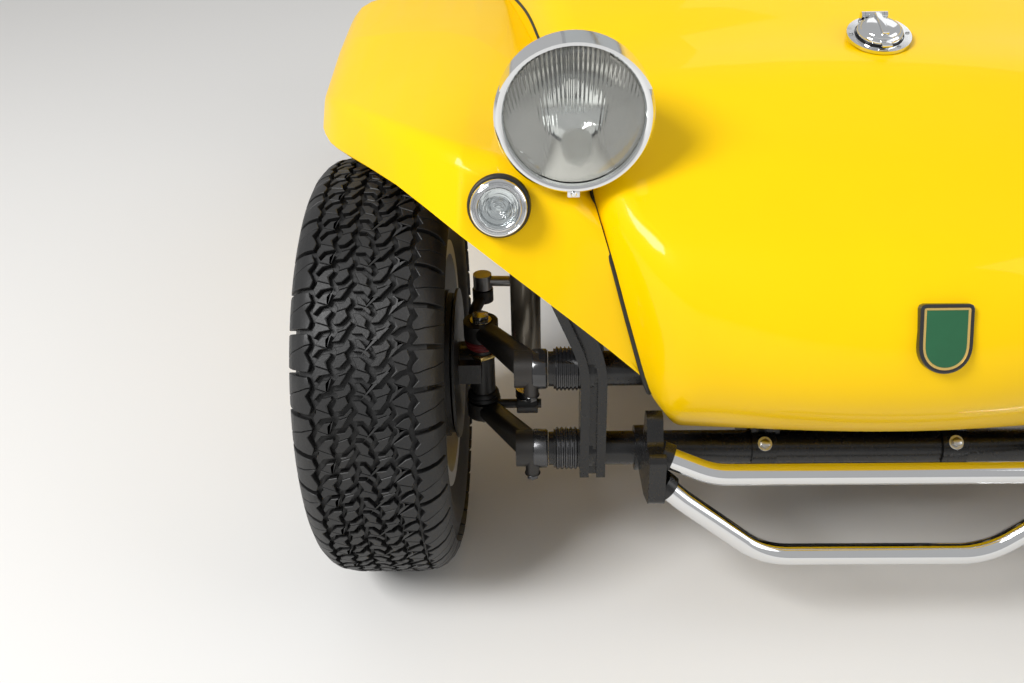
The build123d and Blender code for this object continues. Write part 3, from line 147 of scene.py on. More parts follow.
def newGroup(name, inputs, outputs):
    group = bpy.data.node_groups.new(name, "ShaderNodeTree")
    for title, kind, value in inputs:
        socket = group.interface.new_socket(name=title, in_out="INPUT", socket_type="NodeSocket" + kind)
        socket.default_value = value
    for title, kind in outputs:
        group.interface.new_socket(name=title, in_out="OUTPUT", socket_type="NodeSocket" + kind)
    return group, group.nodes.new("NodeGroupInput"), group.nodes.new("NodeGroupOutput")


def addNode(tree, kind, values=(), links=(), **settings):
    # values and links go to the input sockets, settings to the node itself
    node = tree.nodes.new("ShaderNode" + kind)
    for key, value in settings.items():
        setattr(node, key, value)
    for key, value in dict(values).items():
        node.inputs[key].default_value = value
    for key, source in dict(links).items():
        tree.links.new(source, node.inputs[key])
    return node


def makeGrain(g):
    group, enter, leave = newGroup("surfaceGrain", g["inputs"], g["outputs"])
    given = enter.outputs
    place = addNode(group, "TexCoord").outputs["Object"]
    slow = addNode(group, "TexNoise", {"Scale": g["slowScale"], "Detail": 6.0, "Roughness": 0.6},
                   {"Vector": place})
    fine = addNode(group, "TexNoise", {"Detail": 4.0, "Roughness": 0.6},
                   {"Vector": place, "Scale": given["Scale"]})
    patch = addNode(group, "MapRange", {"From Min": g["patchFrom"], "From Max": g["patchTo"]},
                    {"Value": slow.outputs["Fac"]})
    amount = addNode(group, "Math", (), {0: patch.outputs["Result"], 1: given["Amount"]},
                     operation="MULTIPLY")
    mix = addNode(group, "Mix", (), {"Factor": amount.outputs[0], "A": given["Color"], "B": given["Dust"]},
                  data_type="RGBA")
    rough = addNode(group, "Math", {1: g["roughSpread"]}, {0: fine.outputs["Fac"], 2: given["Roughness"]},
                    operation="MULTIPLY_ADD")
    evened = addNode(group, "Math", {1: g["roughSpread"] / 2}, {0: rough.outputs[0]}, operation="SUBTRACT",
                     use_clamp=True)
    bump = addNode(group, "Bump", {"Distance": g["bumpDistance"]},
                   {"Height": fine.outputs["Fac"], "Strength": given["Bump"]})
    for title, result in (("Color", mix.outputs["Result"]), ("Roughness", evened.outputs[0]),
                          ("Normal", bump.outputs["Normal"])):
        group.links.new(result, leave.inputs[title])
    return group


grain = makeGrain(grainSettings)


def newMaterial(name, color, dust, amount, scale, rough, bump, **shaderValues):
    mat = bpy.data.materials.new(name)
    mat.use_nodes = True
    tree = mat.node_tree
    shader = tree.nodes["Principled BSDF"]
    worn = addNode(tree, "Group", node_tree=grain)
    values = (*color, 1), (*(dust or color), 1), amount, scale, rough, bump
    for (title, _, _), value in zip(grainSettings["inputs"], values):
        worn.inputs[title].default_value = value
    for title, target in (("Color", "Base Color"), ("Roughness", "Roughness"), ("Normal", "Normal")):
        tree.links.new(worn.outputs[title], shader.inputs[target])
    for key, value in shaderValues.items():
        shader.inputs[key.replace("_", " ")].default_value = value
    return mat


# each finish: name, colour, colour of its dust, amount of dust, scale, roughness, bump
yellowGel = newMaterial("yellowGelcoat", (0.91, 0.565, 0.0), (0.94, 0.61, 0.0), 0.4, 14.0, 0.34, 0.02,
                        Specular_IOR_Level=0.05, Coat_Weight=0.28, Coat_Roughness=0.03)
chrome = newMaterial("chromePlate", (0.76, 0.77, 0.78), (0.66, 0.66, 0.66), 0.2, 60.0, 0.07, 0.01,
                     Metallic=1.0)
blackSteel = newMaterial("blackSteel", (0.0045, 0.0045, 0.005), (0.030, 0.027, 0.022), 0.22, 120.0, 0.26,
                         0.12)
castIron = newMaterial("castIron", (0.012, 0.011, 0.010), (0.07, 0.055, 0.042), 0.25, 260.0, 0.42, 0.4)
plainSteel = newMaterial("plainSteel", (0.42, 0.42, 0.42), (0.2, 0.18, 0.15), 0.3, 120.0, 0.36, 0.1,
                         Metallic=1.0)
alloy = newMaterial("castAlloy", (0.55, 0.55, 0.54), (0.3, 0.28, 0.25), 0.35, 240.0, 0.5, 0.4, Metallic=0.9)
tyreRubber = newMaterial("tyreRubber", (0.0075, 0.0075, 0.0078), (0.055, 0.048, 0.040), 0.16, 300.0, 0.50,
                         0.35)
blackPlastic = newMaterial("blackPlastic", (0.015, 0.015, 0.015), (0.05, 0.05, 0.05), 0.2, 400.0, 0.5, 0.3)
vinyl = newMaterial("blackVinyl", (0.02, 0.02, 0.021), (0.06, 0.055, 0.05), 0.2, 500.0, 0.42, 0.6)
redLens = newMaterial("redLens", (0.55, 0.01, 0.008), None, 0.0, 200.0, 0.1, 0.02, Coat_Weight=1.0)
rubber = newMaterial("softRubber", (0.006, 0.006, 0.006), (0.04, 0.035, 0.03), 0.2, 200.0, 0.42, 0.2)
glass = bpy.data.materials.new("clearGlass")
glass.use_nodes = True
for title, value in (("Base Color", (0.93, 0.96, 0.96, 1)), ("Roughness", 0.02), ("Transmission Weight", 1.0),
                     ("IOR", 1.45)):
    glass.node_tree.nodes["Principled BSDF"].inputs[title].default_value = value

finishes = {
    "paint": yellowGel, "chrome": chrome, "black_frame": blackSteel, "black_plastic": blackPlastic,
    "steel": plainSteel, "cast_iron": castIron, "alloy": alloy, "tyre": tyreRubber, "glass": glass,
    "vinyl": vinyl, "red_lens": redLens,
}
slotOf = {row["node"]: row["material_slot"] for row in frame["record"]["subparts"]}
for name, node in nodes.items():
    for slotHolder in node.material_slots:
        slotHolder.material = finishes[slotOf[name]]
print("materials on", len(nodes), "nodes")

# Helpers for new pieces

bends = {"segments": 2, "profile": 0.5, "affect": "EDGES", "material": -1}


def mm(*pairs):
    # a profile given in millimetres: (radius, height)
    return [(a / 1000, b / 1000) for a, b in pairs]


def frameAt(origin, normal=(0, 0, 1), across=(1, 0, 0)):
    z = Vector(normal).normalized()
    x = (Vector(across) - z * z.dot(Vector(across))).normalized()
    return Matrix.Translation(origin) @ Matrix((x, z.cross(x), z)).transposed().to_4x4()


def sideways(origin):
    # a frame whose axis points to the vehicle's left
    return frameAt(origin, (1, 0, 0), across=(0, 1, 0))


def shifted(at, x, y, z):
    return at @ Matrix.Translation((x, y, z))


def onlyVerts(geom):
    return [g for g in geom if isinstance(g, bmesh.types.BMVert)]


def onlyFaces(geom):
    return [g for g in geom if isinstance(g, bmesh.types.BMFace)]


def allOf(bm):
    return bm.verts[:] + bm.edges[:] + bm.faces[:]


def settle(bm, old, at, slot=0):
    # moves what was made after old to its place and gives it a material
    bmesh.ops.remove_doubles(bm, verts=[v for v in bm.verts if v not in old], dist=1e-6)
    verts = [v for v in bm.verts if v not in old]
    bmesh.ops.transform(bm, matrix=at, verts=verts)
    for face in {f for v in verts for f in v.link_faces}:
        face.material_index = slot


def addTurned(bm, profile, at, steps=48, closed=False, slot=0):
    # spins (radius, height) points round the z axis of at
    old = set(bm.verts)
    row = [bm.verts.new((r, 0, h)) for r, h in profile]
    edges = [bm.edges.new(pair) for pair in zip(row, row[1:])]
    if closed:
        edges.append(bm.edges.new((row[-1], row[0])))
    bmesh.ops.spin(bm, geom=row + edges, cent=(0, 0, 0), axis=(0, 0, 1), angle=2 * math.pi, steps=steps,
                   use_merge=True, use_duplicate=False)
    settle(bm, old, at, slot)


def addBlock(bm, low, high, at, round, slot=0):
    old = set(bm.verts)
    size = [h - l for l, h in zip(low, high)]
    middle = [(h + l) / 2 for l, h in zip(low, high)]
    made = bmesh.ops.create_cube(bm, size=1.0)["verts"]
    bmesh.ops.transform(bm, matrix=Matrix.Translation(middle) @ Matrix.Diagonal((*size, 1)), verts=made)
    if round > 0:
        bmesh.ops.bevel(bm, geom=list({e for v in made for e in v.link_edges}), offset=round, **bends)
    settle(bm, old, at, slot)


def addHex(bm, at, radius, height, washer=0.0, slot=0):
    # a six-sided bolt head or nut, with a washer under it
    old = set(bm.verts)
    thick = washer / 8
    made = bmesh.ops.create_cone(bm, cap_ends=True, segments=6, radius1=radius, radius2=radius,
                                 depth=height)["verts"]
    bmesh.ops.translate(bm, verts=made, vec=(0, 0, height / 2 + thick))
    bmesh.ops.bevel(bm, geom=list({e for v in made for e in v.link_edges}), offset=radius * 0.09, **bends)
    settle(bm, old, at, slot)
    if washer > 0:
        addTurned(bm, [(0, 0), (washer - thick / 3, 0), (washer, thick / 3), (washer, thick * 0.7),
                       (washer - thick / 3, thick), (0, thick)], at, 32, slot=slot)


def pushOut(bm, faces, move):
    # extrudes faces and returns what the new end is made of
    end = bmesh.ops.extrude_face_region(bm, geom=faces)["geom"]
    bmesh.ops.translate(bm, verts=onlyVerts(end), vec=move)
    return end


def addPlate(bm, outline, height, at, round):
    # a flat plate with the given (x, y) outline and a rounded top edge
    old = set(bm.verts)
    face = bm.faces.new([bm.verts.new((x, y, 0)) for x, y in outline])
    raised = onlyVerts(pushOut(bm, [face], (0, 0, height)))
    rim = [e for e in bm.edges if e.verts[0] in raised and e.verts[1] in raised]
    bmesh.ops.bevel(bm, geom=rim, offset=round, **bends)
    settle(bm, old, at)


def addShape(bm, data, at=Matrix(), slot=0):
    # adds the mesh of a curve or a text, which is used up
    holder = bpy.data.objects.new(data.name, data)
    mesh = bpy.data.meshes.new_from_object(holder)
    mesh.transform(at)
    old = set(bm.faces)
    bm.from_mesh(mesh)
    for face in bm.faces:
        if face not in old:
            face.material_index = slot
    bpy.data.objects.remove(holder)
    bpy.data.curves.remove(data)
    bpy.data.meshes.remove(mesh)


def addRod(bm, points, radius, shares=()):
    # a round rod along a smooth line, its radius changed by shares where they are given
    data = bpy.data.curves.new("rod", "CURVE")
    data.dimensions = "3D"
    data.bevel_depth = radius
    data.bevel_resolution = 3
    data.use_fill_caps = True
    spline = data.splines.new("NURBS")
    spline.points.add(len(points) - 1)
    for point, place in zip(spline.points, points):
        point.co = (*place, 1)
    for point, share in zip(spline.points, shares):
        point.radius = share
    spline.order_u = 3
    spline.use_endpoint_u = True
    data.resolution_u = 6
    addShape(bm, data)


def addTwins(bm):
    # mirrors everything to the vehicle's other side
    made = bmesh.ops.duplicate(bm, geom=allOf(bm))["geom"]
    bmesh.ops.scale(bm, verts=onlyVerts(made), vec=(-1, 1, 1))


def finishPiece(name, bm, finish, slot, body="chassis", hides=(), crease=35.0, move=(0, 0, 0)):
    bmesh.ops.recalc_face_normals(bm, faces=bm.faces)
    bmesh.ops.translate(bm, verts=bm.verts, vec=move)
    mesh = bpy.data.meshes.new(name)
    bm.to_mesh(mesh)
    bm.free()
    for mat in finish if isinstance(finish, list) else [finish]:
        mesh.materials.append(mat)
    mesh.shade_smooth()
    mesh.set_sharp_from_angle(angle=math.radians(crease))
    piece = addObject(name, mesh)
    if hides:
        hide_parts(*hides)
    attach(piece, body)
    return piece


def makeTurnedPair(name, at, parts, finish, slot, **rest):
    # a piece on both sides of the vehicle, its parts turned about one axis
    bm = bmesh.new()
    for part in parts:
        addTurned(bm, at=at, **part)
    addTwins(bm)
    finishPiece(name, bm, finish, slot, **rest)


# Tyres with an all-terrain tread

tyres = {
    "front": dict(axle=(0.742, -1.250), radius=0.346, width=0.214, rimWidth=0.160, pitches=36,
                  grooveDepth=0.0105),
    "rear": dict(axle=(0.738, 0.790), radius=0.374, width=0.256, rimWidth=0.204, pitches=38,
                 grooveDepth=0.0115),
}
# where the winding grooves run, as shares of the half width: place, swing and phase
grooves = [(-1.30, 0.0, 0.0), (-0.71, 0.030, 0.00), (-0.42, 0.045, 0.50), (-0.14, 0.050, 0.08),
           (0.14, 0.050, 0.58), (0.43, 0.045, 0.16), (0.71, 0.030, 0.70), (1.30, 0.0, 0.0)]
# rows of blocks between two grooves: cross cuts to a pitch, where they start, how they lean and kink
columns = [
    dict(cuts=1, shift=0.00, slope=-0.10, kink=0.00, uneven=0.00),
    dict(cuts=2, shift=0.30, slope=0.55, kink=0.16, uneven=0.09),
    dict(cuts=2, shift=0.05, slope=0.50, kink=-0.18, uneven=-0.10),
    dict(cuts=2, shift=0.62, slope=-0.35, kink=0.18, uneven=0.09),
    dict(cuts=2, shift=0.10, slope=0.50, kink=-0.18, uneven=-0.10),
    dict(cuts=2, shift=0.48, slope=0.55, kink=0.16, uneven=0.09),
    dict(cuts=1, shift=0.50, slope=0.10, kink=0.00, uneven=0.00),
]
tread = {
    "gap": 0.0033,          # from a block's edge to the middle of the groove
    "sipe": 0.0004,
    "sipeLean": 0.35,
    "chamfer": 0.0008,
    "sunk": 0.001,
    "margin": 0.012,        # from the tyre's side to where the shares of the half width end
    "wrap": (0.062, 0.074, 0.085, 0.096, 0.108),
    "beadRadius": 0.1905,
    "steps": 96,
    "crease": 24,
}


def tyreOutline(t):
    # half of the cross-section as (x, radius), from the crown's middle to the bead
    half, r, bead, rim = t["width"] / 2, t["radius"], tread["beadRadius"], t["rimWidth"] / 2
    base = r - t["grooveDepth"]
    return [(0.0, base), (half * 0.45, base), (half - 0.034, base - 0.004), (half - 0.019, base - 0.013),
            (half - 0.009, r - 0.042), (half - 0.003, r - 0.070), (half - 0.0005, (bead + r) / 2),
            (half - 0.004, bead + 0.052), (rim + 0.004, bead + 0.020), (rim, bead + 0.0005)]


def treadPoint(t, across, height):
    # a point on the crown: across is the distance from the middle along the outline
    outline = tyreOutline(t)
    sign = -1.0 if across < 0 else 1.0
    left = abs(across)
    for (x0, r0), (x1, r1) in zip(outline, outline[1:]):
        run = math.hypot(x1 - x0, r1 - r0)
        if left <= run or (x1, r1) == outline[-1]:
            s = left / run
            nx, nr = -(r1 - r0) / run, (x1 - x0) / run
            return (sign * (x0 + (x1 - x0) * s + nx * height), r0 + (r1 - r0) * s + nr * height)
        left -= run


def blockOutline(t, row, i):
    # one block of the flat tread: u runs round the tyre, v across it
    c = columns[row]
    pitch = 2 * math.pi * t["radius"] / t["pitches"]
    step, half = pitch / c["cuts"], t["width"] / 2 - tread["margin"]
    ends = [(k + c["shift"] + c["uneven"] * (-1) ** k) * step for k in (i, i + 1)]
    stations = [k * c["cuts"] / 8 for k in range(8 // c["cuts"] + 1)]
    sides = []
    for (place, swing, phase), lean in ((grooves[row], 0.0), (grooves[row + 1], c["slope"] * step)):
        run = [ends[0] + lean + s * (ends[1] - ends[0]) for s in stations]
        winds = [place + swing * math.sin(2 * math.pi * (2 * u / pitch + phase)) for u in run]
        sides.append([(u, wind * half) for u, wind in zip(run, winds)])
    middle = (grooves[row][0] + grooves[row + 1][0]) / 2 * half
    kinks = [(u + (c["slope"] / 2 + c["kink"]) * step, middle) for u in ends]
    return sides[0] + [kinks[1]] + sides[1][::-1] + [kinks[0]]


def cutSipe(bm, face, lean):
    # slits a flat block in the middle of its length
    us = [v.co.x for v in face.verts]
    low, high = min(us), max(us)
    at = (low + (high - low) / 2, face.calc_center_median().y, 0)
    bmesh.ops.bisect_plane(bm, geom=[face, *face.edges, *face.verts], plane_co=at, plane_no=(1, lean, 0))


def shrinkFaces(bm, margin):
    # takes a margin off the edge of every face
    bm.normal_update()
    rims = bmesh.ops.inset_individual(bm, faces=bm.faces[:], thickness=margin, use_even_offset=True)["faces"]
    bmesh.ops.delete(bm, geom=rims, context="FACES")


def addTread(bm, t):
    # blocks are cut out flat, raised, and wrapped round the crown
    for row, c in enumerate(columns):
        for i in range(t["pitches"] * c["cuts"]):
            bm.faces.new([bm.verts.new((u, v, 0.0)) for u, v in blockOutline(t, row, i)]).material_index = row
    shrinkFaces(bm, tread["gap"])
    for face in bm.faces[:]:
        cutSipe(bm, face, tread["sipeLean"] if face.material_index % 2 else -tread["sipeLean"])
    shrinkFaces(bm, tread["sipe"])
    for side in (-1, 1):
        for v in tread["wrap"]:
            bmesh.ops.bisect_plane(bm, geom=allOf(bm), plane_co=(0, side * v, 0), plane_no=(0, 1, 0))
    tops = onlyFaces(pushOut(bm, bm.faces[:], (0, 0, t["grooveDepth"] - tread["chamfer"])))
    bm.normal_update()
    bmesh.ops.inset_region(bm, faces=tops, thickness=tread["chamfer"], depth=tread["chamfer"],
                           use_boundary=True, use_even_offset=True)
    for face in bm.faces:
        face.material_index = 0
    for vert in bm.verts:
        angle = vert.co.x / t["radius"]
        x, r = treadPoint(t, vert.co.y, vert.co.z - tread["sunk"])
        vert.co = (x, r * math.sin(angle), r * math.cos(angle))


def addCarcass(bm, t):
    outline = tyreOutline(t)
    bead = tread["beadRadius"]
    inner = [(t["rimWidth"] / 2 - 0.012, bead + 0.0005), (t["width"] / 2 - 0.016, bead + 0.06),
             (t["width"] / 2 - 0.024, t["radius"] - 0.034)]
    loop = [(-x, r) for x, r in outline[::-1]] + outline[1:] + inner + [(-x, r) for x, r in inner[::-1]]
    ring = [bm.verts.new((x, 0, r)) for x, r in loop]
    edges = [bm.edges.new((a, b)) for a, b in zip(ring, ring[1:] + ring[:1])]
    bmesh.ops.spin(bm, geom=ring + edges, cent=(0, 0, 0), axis=(1, 0, 0), angle=2 * math.pi,
                   steps=tread["steps"], use_merge=True, use_duplicate=False)


for place, t in tyres.items():
    for side, word in ((1, "left"), (-1, "right")):
        bm = bmesh.new()
        addTread(bm, t)
        addCarcass(bm, t)
        finishPiece(f"{place}Tyre{word.title()}", bm, tyreRubber, "tyre", f"wheel_{place}_{word}_body",
                    hides=[f"tyre_{place}_{word}"], crease=tread["crease"],
                    move=(side * t["axle"][0], t["axle"][1], t["radius"]))
print("tyres")

# Smooth body panels: copies of the CAD panels with their facets merged and shaded

panels = {
    "nose_hood": "hoodSkin", "front_fender_left": "frontWingLeft", "front_fender_right": "frontWingRight",
    "rear_fender_left": "rearWingLeft", "rear_fender_right": "rearWingRight", "rear_deck": "deckSkin",
    "body_tub": "tubSkin",
}
panelCrease = 28.0
for node, title in panels.items():
    bm = bmesh.new()
    bm.from_mesh(nodes[node].data)
    bmesh.ops.remove_doubles(bm, verts=bm.verts, dist=1e-5)
    finishPiece(title, bm, yellowGel, "paint", hides=[node], crease=panelCrease)
print("body panels")

# Headlamps: fluted glass over a reflector, with a bulb, a rim and its clip

lamp = {
    "place": (0.452, -1.447, 0.839),
    "glassRadius": 0.0893,
    "filled": 0.9985,       # share of that radius that the grid of the glass reaches
    "bulge": 0.0250,        # how far the middle of the glass stands before its edge
    "crown": 0.8,
    "edge": 0.0155,
    "thickness": 0.0035,
    "flutePitch": 0.0046,
    "fanFoot": 0.26,        # how far below the middle the flutes would meet
    "fluteDepth": 0.0009,
    "lowFlutes": 0.45,      # share of that depth below the bullseye
    "bullseye": (-0.034, 0.031),
    "bullseyeWide": 0.92,
    "bullseyeDip": 0.0006,
    "fade": (0.006, 0.10),  # where flutes end, round the bullseye and at the glass edge
    "grid": (200, 26),
    "bowl": {"neck": 0.0125, "flare": 0.0765, "back": -0.060, "depth": 0.0700, "rings": 14,
             "skin": (0.0008, -0.0012)},
    "bulb": mm((0, -16), (5, -18), (8.5, -24), (9, -31), (7, -38), (6, -44), (0, -44)),
    "bulbFoot": mm((0, -43.5), (10.5, -43.5), (11.5, -46), (11.5, -58), (13.5, -60), (0, -61)),
    "clip": ((-0.0085, -0.1075, -0.004), (0.0085, -0.0965, 0.0225)),
    "clipRound": 0.0018,
    "screwDown": -0.1020,
    "screw": mm((0, 25.5), (3, 25.2), (4, 23.8), (4, 21.5), (0, 21.5)),
    "rim": mm((89.5, 17.5), (91.5, 21.5), (94.5, 23), (98.5, 22.5), (101.5, 19.5), (102, 17), (96.5, 16)),
}


def lampGlassPoint(l, u, v, inner):
    # columns stay straight, so that the flutes run upright
    radius = l["glassRadius"]
    x = u * radius * l["filled"]
    y = v * math.sqrt(radius * radius - x * x)
    share = min((x * x + y * y) / (radius * radius), 1.0)
    z = l["edge"] + l["bulge"] * (1 - share) ** l["crown"]
    if inner:
        # flutes lean in a fan to each side and end in a smooth bullseye below the middle
        turn = math.atan2(x, y + l["fanFoot"]) * l["fanFoot"]
        wave = 0.5 - 0.5 * math.cos(2 * math.pi * turn / l["flutePitch"])
        eyeY, eyeRadius = l["bullseye"]
        away = math.hypot(x, (y - eyeY) * l["bullseyeWide"])
        nearEye, nearEdge = (away - eyeRadius) / l["fade"][0], (1 - share) / l["fade"][1]
        fade = min(max(nearEye, 0.0), 1.0) * min(max(nearEdge, 0.0), 1.0)
        depth = l["fluteDepth"] * (1.0 if y > eyeY else l["lowFlutes"])
        z -= l["thickness"] - depth * wave * fade
        z -= l["bullseyeDip"] * max(0.0, 1 - (away / eyeRadius) ** 2)
    return x, y, z


def makeLamps(l):
    at = frameAt(l["place"], (0, -1, 0))
    bm = bmesh.new()
    loops = []
    for inner in (False, True):
        made = bmesh.ops.create_grid(bm, x_segments=l["grid"][0], y_segments=l["grid"][1], size=1.0)["verts"]
        for vert in made:
            vert.co = lampGlassPoint(l, vert.co.x, vert.co.y, inner)
        loops += [e for e in {e for v in made for e in v.link_edges} if e.is_boundary]
    bmesh.ops.bridge_loops(bm, edges=loops)
    bmesh.ops.transform(bm, matrix=at, verts=bm.verts)
    addTwins(bm)
    finishPiece("lampGlass", bm, glass, "glass", hides=["headlamp_lenses"], crease=50)
    b = l["bowl"]
    shares = [k / b["rings"] for k in range(b["rings"] + 1)]
    bowl = [(b["neck"] + b["flare"] * s, b["back"] + b["depth"] * s ** 2) for s in shares]
    bowl += [(r + b["skin"][0], h + b["skin"][1]) for r, h in bowl[::-1]]
    makeTurnedPair("lampReflector", at, [dict(profile=bowl, steps=64, closed=True)], mirror, "chrome")
    parts = [dict(profile=l["bulb"], steps=24), dict(profile=l["bulbFoot"], steps=24, slot=1)]
    makeTurnedPair("lampBulb", at, parts, [frosted, plainSteel], "steel")
    bm = bmesh.new()
    addBlock(bm, *l["clip"], at, l["clipRound"])
    addTurned(bm, l["screw"], shifted(at, 0, l["screwDown"], 0), 16)
    addTurned(bm, l["rim"], at, 96, closed=True)
    addTwins(bm)
    finishPiece("lampRim", bm, chrome, "chrome")


mirror = newMaterial("reflectorSilver", (0.76, 0.74, 0.71), (0.60, 0.58, 0.55), 0.4, 24.0, 0.07, 0.0,
                     Metallic=1.0)
frosted = newMaterial("frostedBulb", (0.86, 0.86, 0.84), None, 0.0, 40.0, 0.25, 0.02)
makeLamps(lamp)
print("headlamps")

# Parking lamps: rubber base, bright bezel, ringed lens

marker = {
    "place": (0.550, -1.4644, 0.7207),
    "tilt": 14.0,
    "base": mm((0, 0.3), (41.2, 0.3), (42.5, 1.6), (42.4, 8.5), (40.8, 11.8), (38, 13), (36, 12.6),
               (0, 12.6)),
    "bezel": mm((36.2, 12), (37.6, 15), (37.6, 24.5), (36.8, 27.2), (35, 28.4), (33.4, 27.6), (32.6, 26.2),
                (31.8, 26.2), (31.2, 30), (29.8, 32.2), (28, 32.4), (26.6, 30.8), (26.2, 24), (20, 20.5),
                (0, 19.5), (0, 12)),
    "lens": dict(radius=0.0261, rings=8, height=0.0380, drop=0.0062, curve=2, rise=0.0011, smooth=0.1),
    "lensBack": mm((0, 25.5), (26.1, 24.5)),
}


def ringedLens(radius, rings, height, drop, curve, rise, smooth):
    # a domed lens with rings pressed into it, from its rim to its smooth middle
    rows = []
    for k in range(2 * rings + 1):
        share = 1 - k / (2 * rings)
        rows.append((radius * share, height - drop * share ** curve + rise * (k % 2) * (share > smooth)))
    return rows


def makeMarkers(m):
    tilt = math.radians(m["tilt"])
    at = frameAt(m["place"], (0, -math.cos(tilt), math.sin(tilt)))
    makeTurnedPair("markerBase", at, [dict(profile=m["base"])], rubber, "black_plastic",
                   hides=["turn_signals"])
    makeTurnedPair("markerBezel", at, [dict(profile=m["bezel"])], chrome, "chrome")
    lens = ringedLens(**m["lens"]) + m["lensBack"]
    makeTurnedPair("markerLens", at, [dict(profile=lens, closed=True)], glass, "glass", crease=20)


makeMarkers(marker)
print("parking lamps")

# Rubber welt along the seam between the hood and the wings

welt = {
    # fan pivot behind the axle, fan angle in degrees, half width and seam radius
    "rows": [(0.05, -31, 0.318, 0.298), (0.05, -18, 0.345, 0.300), (0.05, 0, 0.372, 0.288),
             (0.05, 19, 0.398, 0.288), (0.05, 36, 0.422, 0.284), (0.05, 62, 0.444, 0.256),
             (0.05, 90, 0.466, 0.256), (0.20, 90, 0.492, 0.290), (0.35, 90, 0.520, 0.312),
             (0.62, 90, 0.580, 0.310)],
    "axle": -1.25, "pivot": 0.54, "steps": 6, "first": 5,
    "aside": 0.0002, "radius": 0.0026, "frontShare": 1.9, "frontPoints": 22,
}


def along(rows, steps):
    # a smooth run through the rows
    filled, last = [], len(rows) - 1
    for i in range(last):
        corners = list(zip(rows[max(i - 1, 0)], rows[i], rows[i + 1], rows[min(i + 2, last)]))
        for k in range(steps):
            t = k / steps
            filled.append([0.5 * (2 * b + (c - a) * t + (2 * a - 5 * b + 4 * c - d) * t ** 2
                                  + (3 * b - a - 3 * c + d) * t ** 3) for a, b, c, d in corners])
    return [*filled, rows[-1]]


def makeWelt(w):
    points = []
    for pivot, angle, half, seam in along(w["rows"], w["steps"])[w["first"]:]:
        turn = math.radians(angle)
        y, z = w["axle"] + pivot - seam * math.cos(turn), w["pivot"] + seam * math.sin(turn)
        points.append((half + w["aside"], y, z))
    shares = [1 + (w["frontShare"] - 1) * max(0.0, 1 - k / w["frontPoints"]) for k in range(len(points))]
    strip = bmesh.new()
    addRod(strip, points, w["radius"], shares)
    addTwins(strip)
    finishPiece("hoodWelt", strip, rubber, "black_plastic", crease=60)


makeWelt(welt)
print("welt")

# Badge: dark plinth with a bare green shield in a gold border

badge = {
    "place": (0.0, -1.616, 0.602), "normal": (0.0, -0.93, 0.37),
    "halfWidth": 0.033, "top": 0.041, "corner": 0.006, "shoulder": -0.008, "bottom": -0.046, "fullness": 0.85,
    "back": -0.004, "thickness": 0.0150, "round": 0.0012, "plinthBorder": 0.0036,
    # gold rises from the plinth, runs flat and sinks to the enamel: width and rise of each
    "goldSteps": [(0.0004, 0.0008), (0.0022, 0.0), (0.0004, -0.0006)],
}


def shieldOutline(b):
    w, top, shoulder, cut = b["halfWidth"], b["top"], b["shoulder"], b["corner"]
    turns, deep = [math.pi * k / 24 for k in range(25)], shoulder - b["bottom"]
    lower = [(w * math.cos(t), shoulder - deep * math.sin(t) ** b["fullness"]) for t in turns]
    corner = [(w, top - cut), (w - 0.3 * cut, top - 0.3 * cut), (w - cut, top)]
    return lower + [(-x, y) for x, y in corner] + corner[::-1]


def makeBadge(b):
    at = frameAt(b["place"], b["normal"])
    bm = bmesh.new()
    addPlate(bm, shieldOutline(b), b["thickness"], shifted(at, 0, 0, b["back"]), b["round"])
    top = max(bm.faces, key=lambda f: f.calc_center_median().dot(Vector(b["normal"])))
    bmesh.ops.inset_region(bm, faces=[top], thickness=b["plinthBorder"], use_even_offset=True)
    for width, rise in b["goldSteps"]:
        ring = bmesh.ops.inset_region(bm, faces=[top], thickness=width, depth=rise, use_even_offset=True)
        for face in ring["faces"]:
            face.material_index = 1
    top.material_index = 2
    finishPiece("noseBadge", bm, [blackGloss, gold, greenEnamel], "black_plastic", hides=["badge_shield"])


blackGloss = newMaterial("glossBlack", (0.010, 0.010, 0.011), (0.05, 0.05, 0.05), 0.15, 60.0, 0.16, 0.02,
                         Coat_Weight=0.6)
gold = newMaterial("goldLine", (0.80, 0.58, 0.20), (0.6, 0.42, 0.14), 0.3, 200.0, 0.36, 0.05, Metallic=0.8)
greenEnamel = newMaterial("greenEnamel", (0.004, 0.090, 0.030), (0.012, 0.150, 0.055), 0.5, 90.0, 0.14, 0.03,
                          Coat_Weight=0.8, Coat_Roughness=0.03)
makeBadge(badge)
print("badge")

# Fuel filler: flange screws on the neck, and a flip cap with a ridge and finger lever

filler = {
    "place": (0.0, -1.200, 0.862), "tilt": 19.0,
    "cap": mm((0, 9.8), (29, 9.8), (31.8, 10.4), (33, 11.8), (33, 15.2), (31.4, 17.6), (28.4, 19), (28, 20.2),
              (26.4, 22.2), (20, 24.3), (11, 25.5), (0, 26)),
    # ridge, finger lever and hinge leaf: two corners and how round each is
    "blocks": [((-0.0052, -0.026, 0.0215), (0.0052, 0.027, 0.0290), 0.0022),
               ((-0.0075, -0.0450, 0.0150), (0.0075, -0.030, 0.0192), 0.0016),
               ((-0.0095, 0.027, 0.0120), (0.0095, 0.040, 0.0180), 0.0014)],
    "hinge": (-0.0136, 0.040, 0.015),
    "knuckle": mm((2.7, 0), (5.5, 0), (5.5, 27.2), (2.7, 27.2)),
    "screws": 6, "screwCircle": 0.0405, "screwHeight": 0.0095,
    "screw": mm((0, 1.4), (1.5, 1.3), (2.8, 0.8), (3.4, -0.3), (0, -0.3)),
    # a black bar lying on each head: painted shade that stands for the slot
    "screwSlot": ((-0.0026, -0.0003, 0.0010), (0.0026, 0.0003, 0.0016)),
    "gasket": mm((33.6, 9.4), (34.6, 9.8), (35, 10.5), (34.6, 11.2), (33.8, 11.2)),
}


